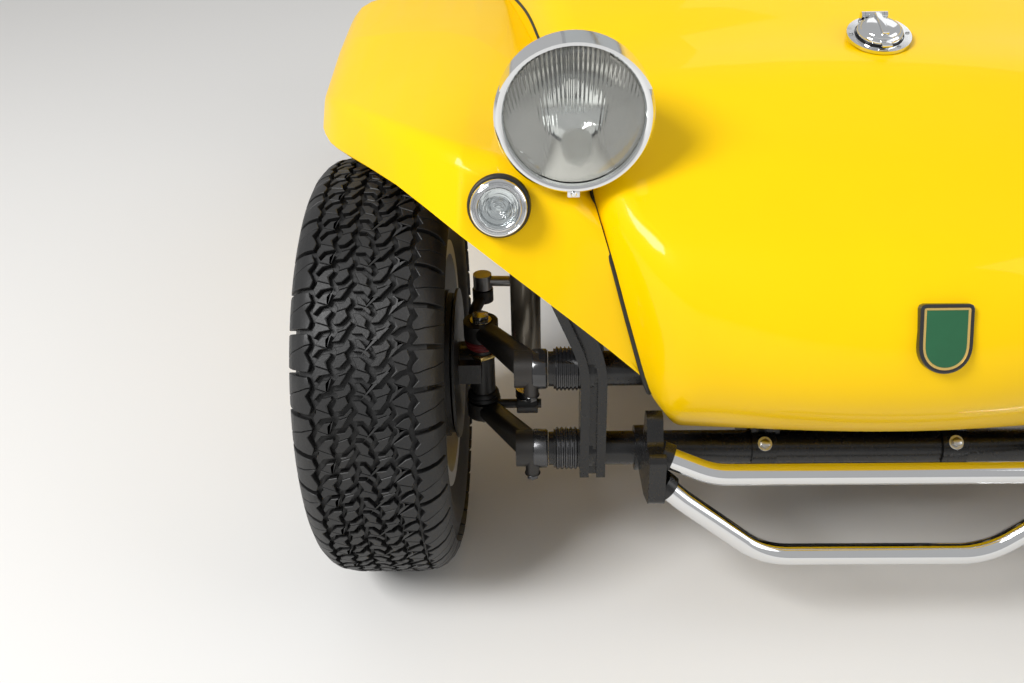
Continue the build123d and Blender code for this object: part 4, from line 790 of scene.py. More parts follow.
def makeFiller(f):
    tilt = math.radians(f["tilt"])
    at = frameAt(f["place"], (0, -math.sin(tilt), math.cos(tilt)))
    cap = bmesh.new()
    addTurned(cap, f["cap"], at, 64)
    for low, high, round in f["blocks"]:
        addBlock(cap, low, high, at, round)
    knuckle = shifted(at, *f["hinge"]) @ Matrix.Rotation(math.pi / 2, 4, "Y")
    addTurned(cap, f["knuckle"], knuckle, 24, closed=True)
    finishPiece("fillerCap", cap, chrome, "chrome", "fuel_cap_body", hides=["fuel_cap"])
    screws = bmesh.new()
    for k in range(f["screws"]):
        angle, away = 2 * math.pi * (k + 0.5) / f["screws"], f["screwCircle"]
        spot = shifted(at, away * math.sin(angle), -away * math.cos(angle), f["screwHeight"])
        addTurned(screws, f["screw"], spot, 16)
        # the slot is a black bar on the head: painted shade in place of a cut slot
        addBlock(screws, *f["screwSlot"], spot, 0, slot=1)
    addTurned(screws, f["gasket"], at, 64, closed=True, slot=1)
    finishPiece("fillerScrews", screws, [chrome, blackSteel], "chrome")


makeFiller(filler)
print("fuel filler")

# Front axle: straps with bolts, ridged collars, sleeves with clamp bolts, and rubber boots

axle = {
    "beamY": -1.395, "lowZ": 0.272, "highZ": 0.422, "tubeRadius": 0.027,
    "strapX": 0.148, "strapWidth": 0.038, "strapThickness": 0.004, "strapGap": 0.0006,
    "tab": 0.0042,          # from the tube's middle forward to the strap's upright tab
    "tabFoot": 0.002, "tabTop": 0.026, "tabBolt": 0.044,
    "boltAim": (0.72, 0.69),
    "collar": (0.4400, 0.4755), "collarRadius": 0.0318, "ridge": 0.0022, "ridges": (5, 6),
    "sleeveX": 0.4880,
    "sleeve": mm((28.5, 0), (30.2, 0.6), (31.2, 2), (31.2, 20), (30.2, 22.2), (28.5, 22.8)),
    "clampBolt": (0.512, -0.018, -0.034),
    "kingX": 0.596, "kingY": -1.250, "lowBall": 0.258, "highBall": 0.412, "nut": 0.0150, "brassNut": -0.050,
    "boot": mm((21.5, 0), (26.2, 0.4), (28.2, 2.8), (27.2, 5.8), (25.2, 7.8), (26.8, 10.8), (25.2, 14),
               (23.2, 16.5), (21.5, 17.5)),
}


def makeStraps(a):
    bm = bmesh.new()
    y, z, r, t = a["beamY"], a["lowZ"], a["tubeRadius"] + a["strapGap"], a["strapThickness"]
    tab, top = y - a["tab"], a["highZ"] - a["tabTop"]
    arc = [(math.sin(k * math.pi / 18), math.cos(k * math.pi / 18)) for k in range(1, 13)]
    loop = [(tab, z + r + a["tabFoot"]), *((y - r * s, z + r * c) for s, c in arc),
            *((y - (r + t) * s, z + (r + t) * c) for s, c in arc[::-1]),
            (tab - t, z + r + t + a["tabFoot"]), (tab - t, top), (tab, top)]
    forward, up = a["boltAim"]
    for side in (-1, 1):
        x = side * a["strapX"]
        old = set(bm.verts)
        face = bm.faces.new([bm.verts.new((x - a["strapWidth"] / 2, v, w)) for v, w in loop])
        pushOut(bm, [face], (a["strapWidth"], 0, 0))
        settle(bm, old, Matrix())
        low = frameAt((x, y - (r + t) * forward, z + (r + t) * up), (0, -forward, up))
        addHex(bm, low, 0.0078, 0.0056, washer=0.0115, slot=1)
        high = frameAt((x, tab - t, a["highZ"] - a["tabBolt"]), (0, -1, 0))
        addHex(bm, high, 0.0070, 0.0052, washer=0.0100, slot=1)
    finishPiece("beamStraps", bm, [blackSteel, zinc], "black_frame")


def collarProfile(a, count):
    # ridges one after another along the tube's end
    radius, length = a["collarRadius"], a["collar"][1] - a["collar"][0]
    step = length / count
    rows = [(radius - 0.003, 0.0)]
    for k in range(count):
        rows += [(radius, k * step + 0.0008), (radius + a["ridge"], (k + 0.35) * step),
                 (radius + a["ridge"], (k + 0.65) * step), (radius, (k + 1) * step - 0.0008)]
    return rows + [(radius - 0.003, length)]


def makeSleeves(a):
    bm = bmesh.new()
    boltX, boltY, boltZ = a["clampBolt"]
    # the lower set is grey metal, a painted sheen on black-painted steel; the upper set is the same parts in
    # gloss black
    for slot, z in enumerate((a["lowZ"], a["highZ"])):
        collar = collarProfile(a, a["ridges"][slot])
        addTurned(bm, collar, sideways((a["collar"][0], a["beamY"], z)), closed=True, slot=slot)
        addTurned(bm, a["sleeve"], sideways((a["sleeveX"], a["beamY"], z)), closed=True, slot=slot)
        bolt = frameAt((boltX, a["beamY"] + boltY, z + boltZ), (0, 0, -1))
        addHex(bm, bolt, 0.0095, 0.0085, washer=0.0125, slot=slot)
    addTwins(bm)
    finishPiece("armSleeves", bm, [paintedSheenGrey, blackGloss], "steel")


def makeBallJoints(a):
    height = a["boot"][-1][1]
    for side, word in ((1, "left"), (-1, "right")):
        bm = bmesh.new()
        x, y = side * a["kingX"], a["kingY"]
        for slot, (ball, way) in enumerate(((a["lowBall"], 1), (a["highBall"], -1))):
            boot = frameAt((x, y, ball + way * height), (0, 0, way))
            addTurned(bm, a["boot"], boot, 40, closed=True, slot=slot)
            nut = frameAt((x, y, ball - way * a["nut"]), (0, 0, -way))
            addHex(bm, nut, 0.0150, 0.0100, washer=0.0185, slot=3)
        addHex(bm, frameAt((x, y, a["highBall"] + a["brassNut"])), 0.0275, 0.0085, slot=2)
        finishPiece("ballJoints" + word.title(), bm, [rubber, redRubber, brass, zinc], "black_plastic",
                    "knuckle_" + word)


zinc = newMaterial("zincBolts", (0.62, 0.62, 0.60), (0.3, 0.27, 0.22), 0.25, 200.0, 0.24, 0.08, Metallic=1.0)
# grey metal for the lower arm sleeves: a painted sheen on black-painted steel
paintedSheenGrey = newMaterial("paintedSheenGrey", (0.085, 0.085, 0.088), (0.20, 0.20, 0.20), 0.35, 160.0, 0.26, 0.16,
                       Metallic=0.9)
brass = newMaterial("brassNut", (0.62, 0.45, 0.16), (0.25, 0.18, 0.08), 0.4, 160.0, 0.28, 0.08, Metallic=1.0)
redRubber = newMaterial("redBoot", (0.14, 0.010, 0.012), (0.05, 0.03, 0.03), 0.4, 160.0, 0.45, 0.15)
makeStraps(axle)
makeSleeves(axle)
makeBallJoints(axle)
print("front axle details")

# Dampers: bronze cover, bright rod, and rubber bushes between washers

dampers = {
    "front": dict(foot=(0.521, -1.260, 0.268), top=0.6636, cover=0.0245, coverLow=0.345, rod=0.0060),
    "rear": dict(foot=(0.478, 0.728, 0.300), top=0.690, cover=0.0260, coverLow=0.420, rod=0.0065),
}
damperParts = {
    "bush": mm((6.5, 0), (17, 0), (19.2, 2.2), (19.8, 6), (18.5, 10.2), (15.8, 12.5), (6.5, 12.5)),
    "washer": mm((6.5, 0), (19.2, 0), (20, 0.8), (19.2, 1.6), (6.5, 1.6)),
    "eye": mm((8.4, 0), (16, 0), (17, 1), (17, 35), (16, 36), (8.4, 36)),
    "bushes": (0.0185, -0.0215),    # above the foot and below the top
    "washers": (-0.0018, 0.0127),   # below and above each bush
    "eyeStart": -0.018,
    "stem": 0.008,
}


def makeDamper(name, d, p):
    x, y, z = d["foot"]
    top, low, r = d["top"] - z, d["coverLow"] - z, d["cover"]
    at = frameAt(d["foot"])
    bm = bmesh.new()
    addTurned(bm, [(0, low), (r - 0.004, low), (r - 0.0008, low + 0.0012), (r, low + 0.003), (r, top - 0.042),
                   (r - 0.002, top - 0.034), (r - 0.009, top - 0.027), (0, top - 0.026)], at)
    for radius, start, end in ((d["rod"], 0.012, low + 0.006), (p["stem"], top - 0.028, top - 0.0005)):
        addTurned(bm, [(0, start), (radius, start), (radius, end), (0, end)], at, 24, slot=1)
    for height in (p["bushes"][0], top + p["bushes"][1]):
        addTurned(bm, p["bush"], shifted(at, 0, 0, height), 32, closed=True, slot=2)
        for h in p["washers"]:
            addTurned(bm, p["washer"], shifted(at, 0, 0, height + h), 32, closed=True, slot=3)
    addTurned(bm, p["eye"], sideways((x + p["eyeStart"], y, z)), 32, closed=True, slot=2)
    addTwins(bm)
    finishPiece(name + "DamperPair", bm, [bronzePaint, chrome, rubber, zinc], "steel",
                hides=[name + "_dampers"])


bronzePaint = newMaterial("bronzeGrey", (0.155, 0.135, 0.105), (0.26, 0.22, 0.16), 0.25, 120.0, 0.30, 0.06,
                          Metallic=0.75, Coat_Weight=0.5)
for name, d in dampers.items():
    makeDamper(name, d, damperParts)
print("dampers")

# Rear wing flanges: an angle from each wing's inner edge down the deck's flank, with a welt on it

wingFlange = {
    "start": 0.455,         # where the deck begins beside the wing
    "steps": 80,
    "probe": 0.68,          # height at which the deck's flank is found
    "above": 2.0,           # height from which the tops are found
    "inside": 0.0008,       # how far the probes stay within an edge
    "shoulderIn": 0.010,
    "shoulderDrop": 0.035,
    "corner": 0.007,
    "drop": 0.045,
    "wall": 0.004,
    "gap": 0.0006,
    "weltPlace": (-0.0012, 0.0005),
    "weltDown": (0.012, 0.045, 0.090),
    "weltRadius": 0.0036,
}


def surfaceOf(name):
    # a node's surface, for finding points on it
    bm = bmesh.new()
    bm.from_mesh(nodes[name].data)
    tree = BVHTree.FromBMesh(bm)
    bm.free()
    return tree


def makeWingFlanges(w):
    wing, deck = surfaceOf("rear_fender_left"), surfaceOf("rear_deck")
    low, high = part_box("rear_fender_left")
    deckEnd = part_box("rear_deck")[1].y - 0.001
    flange = bmesh.new()
    made = bmesh.ops.create_grid(flange, x_segments=w["steps"], y_segments=5, size=1.0)["verts"]
    welt = []
    for vert in sorted(made, key=lambda v: (round(v.co.x, 4), v.co.y)):
        y = w["start"] + (high.y - w["gap"] - w["start"]) * (vert.co.x + 1) / 2
        deckY = min(y, deckEnd)
        row = round((vert.co.y + 1) / 2 * 5)
        top = wing.ray_cast((low.x + w["inside"], y, w["above"]), (0, 0, -1))[0].z
        side = deck.ray_cast((low.x + 0.1, deckY, w["probe"]), (-1, 0, 0))[0].x
        edge = min(side + w["gap"], low.x - 0.0001)
        shoulder = deck.ray_cast((side - w["shoulderIn"], deckY, w["above"]), (0, 0, -1))[0].z
        foot = min(top - w["drop"], shoulder - w["shoulderDrop"])
        r = min(w["corner"], low.x - edge)
        x, z = [(low.x, top), (edge + r, top), (edge + 0.3 * r, top - 0.3 * r), (edge, top - w["corner"]),
                (edge, (top + foot) / 2), (edge, foot)][row]
        vert.co = (x, y, z)
        if row == 0 and y < deckEnd:
            welt.append((side + w["weltPlace"][0], y, shoulder + w["weltPlace"][1]))
    flange.normal_update()
    facing = sum(f.normal.z - f.normal.x for f in flange.faces)
    bmesh.ops.solidify(flange, geom=flange.faces[:], thickness=math.copysign(w["wall"], facing))
    addTwins(flange)
    finishPiece("rearWingFlanges", flange, yellowGel, "paint", crease=panelCrease)
    endX, endZ = welt[-1][0] + 0.0010, welt[-1][2]
    strip = bmesh.new()
    addRod(strip, welt + [(endX, deckEnd + 0.003, endZ - down) for down in w["weltDown"]], w["weltRadius"])
    addTwins(strip)
    finishPiece("rearWelt", strip, rubber, "black_plastic", crease=60)


makeWingFlanges(wingFlange)
print("rear wing flanges")

# Tail lamps: rubber gasket, bright bezel with two screws, ringed red lens

tailLamp = {
    "place": (0.720, 1.1578, 0.712),
    "normal": (0.0, 0.94, 0.34),
    "gasket": mm((0, 1.2), (46, 1.2), (46.6, 3), (46, 6.5), (44, 7.8), (0, 7.8)),
    "bezel": mm((42.5, 7.4), (44.8, 8.6), (45.2, 19), (43.8, 22.2), (40, 23.6), (38.5, 22.6), (38.2, 18),
                (0, 17), (0, 7.4)),
    "screwAt": (0.0345, 0.0265),
    "screw": mm((0, 3.6), (2.2, 3), (3, 1.8), (3, -2), (0, -2)),
    "lens": dict(radius=0.0381, rings=7, height=0.0318, drop=0.0052, curve=3, rise=0.0008, smooth=0),
    "lensBack": mm((0, 18.2), (38.1, 19)),
}


def makeTailLamps(t):
    at = frameAt(t["place"], t["normal"])
    base = bmesh.new()
    addTurned(base, t["gasket"], at)
    addTurned(base, t["bezel"], at, slot=1)
    for side in (-1, 1):
        addTurned(base, t["screw"], shifted(at, side * t["screwAt"][0], 0, t["screwAt"][1]), 16, slot=1)
    addTwins(base)
    finishPiece("tailLampBase", base, [rubber, chrome], "black_plastic", hides=["tail_lamps"])
    lens = ringedLens(**t["lens"]) + t["lensBack"]
    makeTurnedPair("tailLampLens", at, [dict(profile=lens, closed=True)], redLens, "red_lens", crease=18)


makeTailLamps(tailLamp)
print("tail lamps")

# Seat pads: padded vinyl that follows each bucket, blown up as cloth, with sewn channels

seat = {
    "x": 0.300, "pivot": (-0.060, 0.760),
    # fan angle, half width and reach of the shell
    "rows": [(111, 0.190, 0.386), (97, 0.205, 0.402), (82, 0.208, 0.420), (66, 0.206, 0.446),
             (52, 0.200, 0.440), (36, 0.198, 0.402), (18, 0.194, 0.376), (-2, 0.182, 0.398),
             (-13, 0.156, 0.426), (-18, 0.130, 0.444)],
    "steps": 3, "corners": 28,
    "gap": 0.0006, "side": 0.024, "thickness": 0.036, "start": 0.86,
    "squareAcross": 0.28, "squareDeep": 0.6,
    "voxel": 0.006, "pressure": 4.0, "frames": 20, "cap": 0.012,
    "channels": [-0.34, 0.0, 0.34], "channelDepth": 0.0075, "channelWidth": 0.0075, "channelEnd": 0.82,
}


def seatPoint(s, angle, across, reach):
    turn = math.radians(angle)
    return Vector((across, s["pivot"][0] + reach * math.cos(turn), s["pivot"][1] - reach * math.sin(turn)))


def makePadShape(s):
    # a flattened tube that follows the bucket, a little smaller than the finished pad
    bm = bmesh.new()
    rows, count = along(s["rows"], s["steps"]), s["corners"]
    loops = []
    for i, (angle, half, reach) in enumerate(rows):
        ends = min(i, len(rows) - 1 - i) / 2.0
        close = math.sin(min(ends + 0.25, 1.0) * math.pi / 2)
        half = (half - s["side"]) * (0.90 + 0.10 * close)
        deep = s["thickness"] * (0.45 + 0.55 * close) * s["start"]
        middle = reach - s["gap"] - s["thickness"] / 2
        ring = []
        for k in range(count):
            c, q = math.cos(2 * math.pi * k / count), math.sin(2 * math.pi * k / count)
            u = half * math.copysign(abs(c) ** s["squareAcross"], c)
            v = deep / 2 * math.copysign(abs(q) ** s["squareDeep"], q)
            ring.append(bm.verts.new(seatPoint(s, angle, u, middle + v)))
        loops.append(ring)
    for low, high in zip(loops, loops[1:]):
        for k in range(count):
            after = (k + 1) % count
            bm.faces.new((low[k], low[after], high[after], high[k]))
    for ring in (loops[0], loops[-1]):
        bm.faces.new(ring)
    bmesh.ops.recalc_face_normals(bm, faces=bm.faces)
    return bm


def takeModified(thing):
    # the mesh as its modifiers leave it
    return bpy.data.meshes.new_from_object(thing.evaluated_get(bpy.context.evaluated_depsgraph_get()))


def blowUp(bm, s):
    # voxel remesh, then cloth with pressure, each point held within a cap
    mesh = bpy.data.meshes.new("padShape")
    bm.to_mesh(mesh)
    bm.free()
    pad = addObject("padShape", mesh)
    remesh = pad.modifiers.new("remesh", "REMESH")
    remesh.mode = "VOXEL"
    remesh.voxel_size = s["voxel"]
    even = takeModified(pad)
    pad.modifiers.clear()
    pad.data = even
    start = [v.co.copy() for v in even.vertices]
    cloth = pad.modifiers.new("cloth", "CLOTH")
    cloth.settings.use_pressure = True
    cloth.settings.uniform_pressure_force = s["pressure"]
    cloth.settings.effector_weights.gravity = 0.0
    scene = bpy.context.scene
    for k in range(1, s["frames"] + 1):
        scene.frame_set(k)
    blown = takeModified(pad)
    scene.frame_set(1)
    pad.modifiers.clear()
    pad.data = blown
    for vert, old in zip(blown.vertices, start):
        move = vert.co - old
        if move.length > s["cap"]:
            vert.co = old + move.normalized() * s["cap"]
    return pad


def shapePad(pad, s):
    # keeps the pad out of the shell and presses the sewn channels into its face
    rows = along(s["rows"], s["steps"])
    for vert in pad.data.vertices:
        middle = Vector((vert.co.x, *s["pivot"]))
        away = vert.co - middle
        angle = math.degrees(math.atan2(-away.z, away.y))
        _, half, reach = rows[0] if angle > rows[0][0] else rows[-1]
        for a, b in zip(rows, rows[1:]):
            if b[0] <= angle <= a[0]:
                share = (a[0] - angle) / (a[0] - b[0])
                half, reach = a[1] + (b[1] - a[1]) * share, a[2] + (b[2] - a[2]) * share
                break
        r, limit = away.length, reach - s["gap"]
        side = abs(vert.co.x) / half
        if limit - r > s["thickness"] / 2 and side < s["channelEnd"]:
            dip = max(math.exp(-((vert.co.x - c * half) / s["channelWidth"]) ** 2) for c in s["channels"])
            r += s["channelDepth"] * dip * min(1.0, (s["channelEnd"] - side) * 8)
        vert.co = middle + away.normalized() * min(r, limit)


def makeSeatPads(s):
    pad = blowUp(makePadShape(s), s)
    shapePad(pad, s)
    smooth = pad.modifiers.new("smooth", "SUBSURF")
    smooth.levels = smooth.render_levels = 1
    final = takeModified(pad)
    bpy.data.objects.remove(pad)
    for side, word in ((1, "Left"), (-1, "Right")):
        bm = bmesh.new()
        bm.from_mesh(final)
        piece = finishPiece("seatPad" + word, bm, vinyl, "vinyl", hides=["seat_cushions"], crease=60,
                            move=(side * s["x"], 0, 0))


makeSeatPads(seat)
print("seat pads")

# Gauges: dark dials with white marks and plain numbers, needles, bright bezels and glass

gauges = {
    "faceY": -0.5878,
    # x, z, bezel radius, highest number, number step, small marks between numbers, needle share
    "dials": [(0.300, 0.800, 0.056, 90, 10, 1, 0.0), (0.168, 0.790, 0.028, 4, 1, 0, 0.62),
              (0.100, 0.790, 0.028, 8, 2, 0, 0.4), (0.430, 0.790, 0.028, 60, 20, 1, 0.5)],
    "sweep": 132.0,
    "bezel": 0.0072,
    # length and half width of the big marks and of the small ones, as shares of the dial
    "marks": {True: (0.13, 0.011 / 20 / 0.056), False: (0.07, 0.007 / 20 / 0.056)},
    "markEnd": 0.95, "figureAt": 0.66, "figureSize": 0.24,
    "needle": (-0.18, 0.80, 0.0006), "hub": 0.11,
}


def addFigure(bm, text, size, at):
    data = bpy.data.curves.new("figure", "FONT")
    data.body = text
    data.size = size
    data.align_x = "CENTER"
    data.align_y = "CENTER"
    data.resolution_u = 3
    addShape(bm, data, at, 1)


def makeGauges(g):
    faces, rims, covers = bmesh.new(), bmesh.new(), bmesh.new()
    sweep = math.radians(g["sweep"])
    for x, z, r, top, step, small, share in g["dials"]:
        at = frameAt((x, g["faceY"], z), (0, 1, 0), across=(-1, 0, 0))
        dial, hub = r - g["bezel"], (r - g["bezel"]) * g["hub"]
        addTurned(faces, [(0, 0.0), (dial, 0.0), (dial, 0.0004), (0, 0.0004)], at)
        marks = top // step * (small + 1)
        for k in range(marks + 1):
            angle = sweep * (1 - 2 * k / marks)
            big = k % (small + 1) == 0
            long, wide = g["marks"][big]
            low, high = dial * (g["markEnd"] - long), dial * g["markEnd"]
            addBlock(faces, (-wide * r, low, 0.0004), (wide * r, high, 0.0007),
                     at @ Matrix.Rotation(angle, 4, "Z"), 0, slot=1)
            if big:
                away = dial * g["figureAt"]
                spot = shifted(at, -math.sin(angle) * away, math.cos(angle) * away, 0.0006)
                addFigure(faces, str(k // (small + 1) * step), dial * g["figureSize"], spot)
        tail, tip, half = g["needle"]
        turned = at @ Matrix.Rotation(sweep * (1 - 2 * share), 4, "Z")
        addBlock(faces, (-half, dial * tail, 0.0012), (half, dial * tip, 0.0018), turned, 0.0002, slot=2)
        addTurned(faces, [(0, 0.0008), (hub, 0.0008), (hub, 0.0026), (hub * 8 / 11, 0.0032), (0, 0.0034)],
                  at, 24, slot=3)
        addTurned(rims, [(dial + 0.0002, 0.0004), (dial + 0.0002, 0.0040), (dial + 0.0016, 0.0056),
                         (r - 0.0016, 0.0056), (r + 0.0002, 0.0038), (r + 0.0006, -0.0056),
                         (dial + 0.0004, -0.0056)], at, closed=True)
        addTurned(covers, [(0, 0.0047), (dial, 0.0041), (dial, 0.0051), (0, 0.0057)], at)
    finishPiece("gaugeDials", faces, [dialBlack, dialWhite, needleRed, blackGloss], "black_plastic")
    finishPiece("gaugeBezels", rims, chrome, "chrome")
    finishPiece("gaugeGlass", covers, glass, "glass")


dialBlack = newMaterial("dialBlack", (0.006, 0.006, 0.007), (0.02, 0.02, 0.02), 0.1, 300.0, 0.6, 0.05)
dialWhite = newMaterial("dialWhite", (0.75, 0.75, 0.72), (0.6, 0.6, 0.55), 0.1, 300.0, 0.5, 0.02)
needleRed = newMaterial("needleOrange", (0.75, 0.13, 0.02), None, 0.0, 300.0, 0.4, 0.02)
makeGauges(gauges)
print("gauges")

# Controls: wheel rim cover, horn button, gear knob and boot, handbrake grip, pedal rubbers, dash knobs

controls = {
    "hub": (0.300, -0.270, 0.835), "along": (0.0, 0.9468, 0.3219),
    "rimRadius": 0.175, "gripRadius": 0.0149, "swell": 0.0008, "swells": 36,
    "hubRing": mm((12, 21.5), (36, 21.5), (40.5, 22.5), (42.5, 24), (41.5, 26.2), (34, 28.5), (30.5, 29),
                  (30, 28), (12, 27.8)),
    "horn": mm((0, 33.4), (12, 33.1), (22, 32), (27, 30.2), (28.5, 28), (28.5, 22.5), (0, 22.5)),
    "bootAt": (0, -0.300, 0.3043),
    "bootFoot": mm((16, 0), (50, 0), (52.5, 3), (50, 7)),
    "bootFold": mm((0, 9), (2.8, 11.5), (-3, 14.2)),
    "bootTop": mm((16.5, 34.5), (12, 40), (8.5, 40.5), (8.5, 30)),
    "folds": 4, "foldStart": 0.046, "foldStep": (-0.0075, 0.0062),
    "knobAt": (0, -0.279, 0.546), "knobLean": (0, 0.12, 1),
    "knob": mm((0, -26), (9, -26), (10.5, -22), (12.5, -18), (19.5, -12), (22.8, -3), (23.2, 4), (21.5, 11),
               (17.5, 16.5), (11.5, 19.5), (10.8, 18.8), (0, 18.8)),
    "brakeGrip": ((0, -0.010, 0.369), (0, 0.080, 0.409)), "grooves": 12,
    "gripGroove": mm((16.6, 0), (16.6, 3.8), (15.6, 4.6), (15.6, 6)),
    "gripEnd": mm((16.8, -6), (16, 2), (10, 4), (0, 4.2), (0, 0.5), (15.2, 0)),
    "pedals": [(0.180, 0.026), (0.260, 0.026), (0.350, 0.020)], "pedalAt": (-0.596, 0.384), "pedalLean": -40,
    "ribs": 6, "ribStart": -0.0255, "ribStep": 0.0100, "ribWidth": 0.0045,
    "dashKnobs": (0.020, -0.040, -0.100), "dashZ": 0.790,
    "dashKnob": mm((0, 0), (9.5, 0), (11, 1.2), (10.8, 6.5), (12.6, 10), (12.6, 15), (11, 17.2), (0, 18)),
    "dashRing": mm((10, 0.3), (15, 0.3), (15.2, 1), (14.5, 2.2), (10, 2.4)),
}


def makeWheelTrim(c):
    at = frameAt(c["hub"], c["along"])
    grip = bmesh.new()
    turns = [2 * math.pi * k / 24 for k in range(24)]
    ring = [(c["rimRadius"] + c["gripRadius"] * math.cos(t), c["gripRadius"] * math.sin(t)) for t in turns]
    addTurned(grip, ring, at, 96, closed=True)
    # finger swells on the far side of the rim
    for vert in grip.verts:
        local = at.inverted() @ vert.co
        flat = Vector((local.x, local.y, 0))
        if local.z < 0:
            swell = c["swell"] * math.cos(math.atan2(local.y, local.x) * c["swells"])
            local += flat.normalized() * swell * (-1 if flat.length < c["rimRadius"] else 1)
        vert.co = at @ local
    addTurned(grip, c["hubRing"], at, closed=True)
    finishPiece("wheelRimCover", grip, vinyl, "vinyl", "steering_wheel_body", crease=60)
    horn = bmesh.new()
    addTurned(horn, c["horn"], at)
    finishPiece("hornButton", horn, polished, "steel", "steering_wheel_body")


def makeControls(c):
    bm = bmesh.new()
    boot = c["bootFoot"][:]
    for k in range(c["folds"]):
        radius, height = c["foldStart"] + c["foldStep"][0] * k, c["foldStep"][1] * k
        boot += [(radius + r, height + h) for r, h in c["bootFold"]]
    addTurned(bm, boot + c["bootTop"], frameAt(c["bootAt"]), 40, closed=True)
    addTurned(bm, c["knob"], frameAt(c["knobAt"], c["knobLean"]), 40, slot=1)
    start, end = (Vector(p) for p in c["brakeGrip"])
    length = (end - start).length
    sleeve = [(0.0152, 0.0)]
    for k in range(c["grooves"]):
        s = 0.006 + (length - 0.016) * k / c["grooves"]
        sleeve += [(r, s + h) for r, h in c["gripGroove"]]
    sleeve += [(r, length + h) for r, h in c["gripEnd"]]
    addTurned(bm, sleeve, frameAt(start, end - start), 32, closed=True)
    for x, half in c["pedals"]:
        pad = Matrix.Translation((x, *c["pedalAt"])) @ Matrix.Rotation(math.radians(c["pedalLean"]), 4, "X")
        addBlock(bm, (-half - 0.0015, 0.0030, -0.0315), (half + 0.0015, 0.0075, 0.0315), pad, 0.0012)
        for k in range(c["ribs"]):
            z = c["ribStart"] + k * c["ribStep"]
            addBlock(bm, (-half + 0.002, 0.0070, z), (half - 0.002, 0.0092, z + c["ribWidth"]), pad, 0.0006)
    finishPiece("controlRubbers", bm, [rubber, blackGloss], "black_plastic")
    knobs = bmesh.new()
    for x in c["dashKnobs"]:
        addTurned(knobs, c["dashKnob"], frameAt((x, -0.5765, c["dashZ"]), (0, 1, 0)), 32)
        addTurned(knobs, c["dashRing"], frameAt((x, -0.594, c["dashZ"]), (0, 1, 0)), 32, closed=True, slot=1)
    finishPiece("dashKnobs", knobs, [blackGloss, chrome], "black_plastic")


polished = newMaterial("polishedSteel", (0.50, 0.51, 0.53), (0.2, 0.2, 0.2), 0.4, 90.0, 0.15, 0.12,
                       Metallic=1.0)
makeWheelTrim(controls)
makeControls(controls)
print("controls")

# Engine dress: distributor, coil, ignition leads, tinware screws, air cleaner clips

engine = {
    "distributor": (0.074, 1.226, 0.4844),
    "body": mm((0, 0), (20, 0), (22, 2), (22, 8), (14, 12), (14, 40), (20, 46), (30, 50), (31, 52), (31, 74),
               (0, 74)),
    "cap": mm((0, 74), (32.2, 74), (32.8, 76), (32, 100), (28, 110), (18, 113), (0, 113)),
    "tower": mm((0, 108), (6.8, 108), (6, 122), (5.2, 128), (0, 129)),
    "towerCircle": 0.0205, "towerTurn": 0.4,
    "coil": (0.196, 1.1245, 0.640),
    "coilCan": mm((0, -52), (24, -52), (26.2, -49), (26.2, 52), (24, 55), (0, 55)),
    "coilTop": mm((0, -76), (6, -76), (8, -66), (14, -60), (22.5, -56), (22.5, -50), (0, -50)),
    "coilBand": mm((26.2, -10), (28, -9), (28, 11), (26.2, 12)),
    "coilFoot": ((-0.016, -0.029, -0.010), (0.016, -0.0015, 0.010)),
    "leadRadius": 0.0035,
    "plugs": [(0.205, 1.046), (0.205, 1.168), (-0.205, 1.046), (-0.205, 1.168)],
    "plugBoot": mm((0, 0), (16, 0), (17.2, 2), (15, 5), (7.5, 8), (7.2, 30), (5.5, 34), (0, 34)),
    "tinZ": 0.4558,
    "tinScrews": [(0.140, 0.996), (0.316, 0.996), (0.316, 1.090), (0.140, 1.130), (0.316, 1.130),
                  (0.140, 1.222), (0.316, 1.222)],
    "cleaner": (-0.152, 1.208, 0.684),
    "cleanerBand": mm((74, 52), (76.2, 53.5), (77, 56), (76.2, 58.5), (74, 60)),
    "cleanerNut": mm((0, 84.2), (11, 84.2), (12, 87.2), (7.5, 89.2), (7.5, 97.2), (0, 98.6)),
}


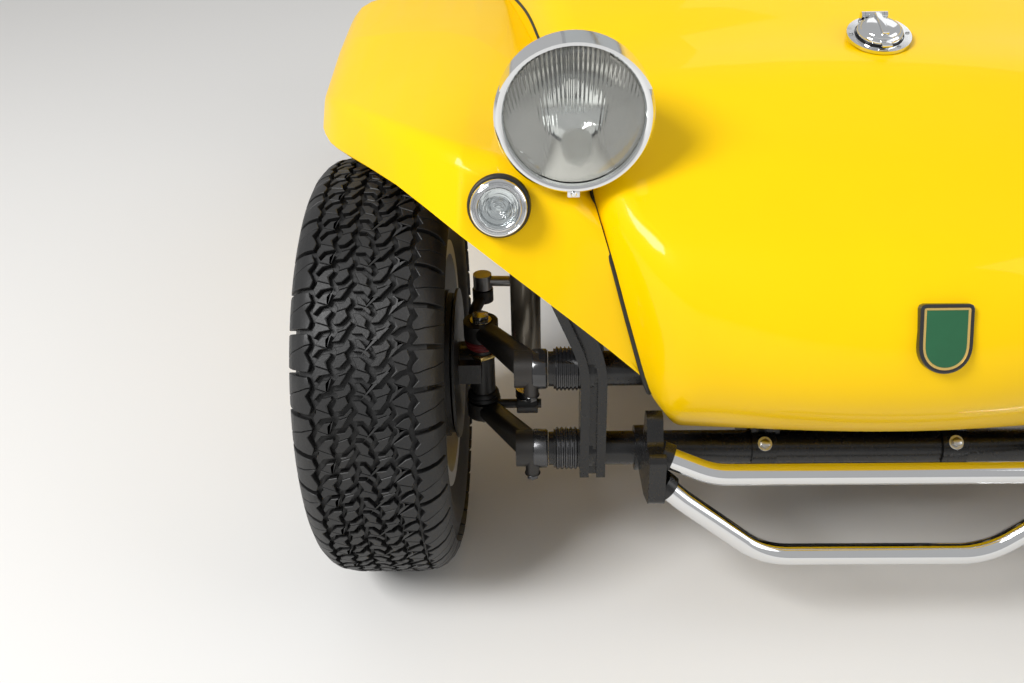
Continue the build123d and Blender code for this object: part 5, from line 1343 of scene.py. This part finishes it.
def makeIgnition(e):
    bm = bmesh.new()
    x, y, z = e["distributor"]
    at = frameAt(e["distributor"])
    addTurned(bm, e["body"], at, 40, slot=1)
    addTurned(bm, e["cap"], at, 40)
    turns = [k * math.pi / 2 + e["towerTurn"] for k in range(4)]
    towers = [(e["towerCircle"] * math.cos(t), e["towerCircle"] * math.sin(t)) for t in turns]
    for u, v in [(0.0, 0.0), *towers]:
        addTurned(bm, e["tower"], shifted(at, u, v, 0), 20)
    cx, cy, cz = e["coil"]
    coil = frameAt(e["coil"], (0, 0, -1))
    addTurned(bm, e["coilCan"], coil, 40, slot=2)
    addTurned(bm, e["coilTop"], coil, 32)
    addTurned(bm, e["coilBand"], coil, 40, closed=True, slot=1)
    addBlock(bm, *e["coilFoot"], Matrix.Translation(e["coil"]), 0.0015, slot=1)
    for (u, v), (px, py) in zip(towers, e["plugs"]):
        out = 0.10 if px > 0 else -0.02
        lead = [(x + u, y + v, z + 0.126), (x + u, y + v, z + 0.165), (x + u + out, y + 0.030, z + 0.150),
                (px * 0.86, py + 0.045, z + 0.060), (px, py, e["tinZ"] + 0.050), (px, py, e["tinZ"] + 0.012)]
        addRod(bm, lead, e["leadRadius"])
        addTurned(bm, e["plugBoot"], frameAt((px, py, e["tinZ"] + 0.0004)), 24)
    lead = [(x, y, z + 0.127), (x, y, z + 0.185), (x + 0.070, y - 0.020, z + 0.235), (cx, cy, cz + 0.130),
            (cx, cy, cz + 0.074)]
    addRod(bm, lead, e["leadRadius"])
    finishPiece("ignition", bm, [blackGloss, zinc, blackSteel], "black_plastic")


def makeFasteners(e):
    bm = bmesh.new()
    for x, y in e["tinScrews"]:
        addHex(bm, frameAt((x, y, e["tinZ"])), 0.0056, 0.0042, washer=0.0085)
    addTwins(bm)
    lid = frameAt(e["cleaner"])
    addTurned(bm, e["cleanerBand"], lid, 64, closed=True, slot=1)
    addTurned(bm, e["cleanerNut"], lid, 24)
    finishPiece("engineFasteners", bm, [zinc, polished], "steel")


makeIgnition(engine)
makeFasteners(engine)
print("engine dress")
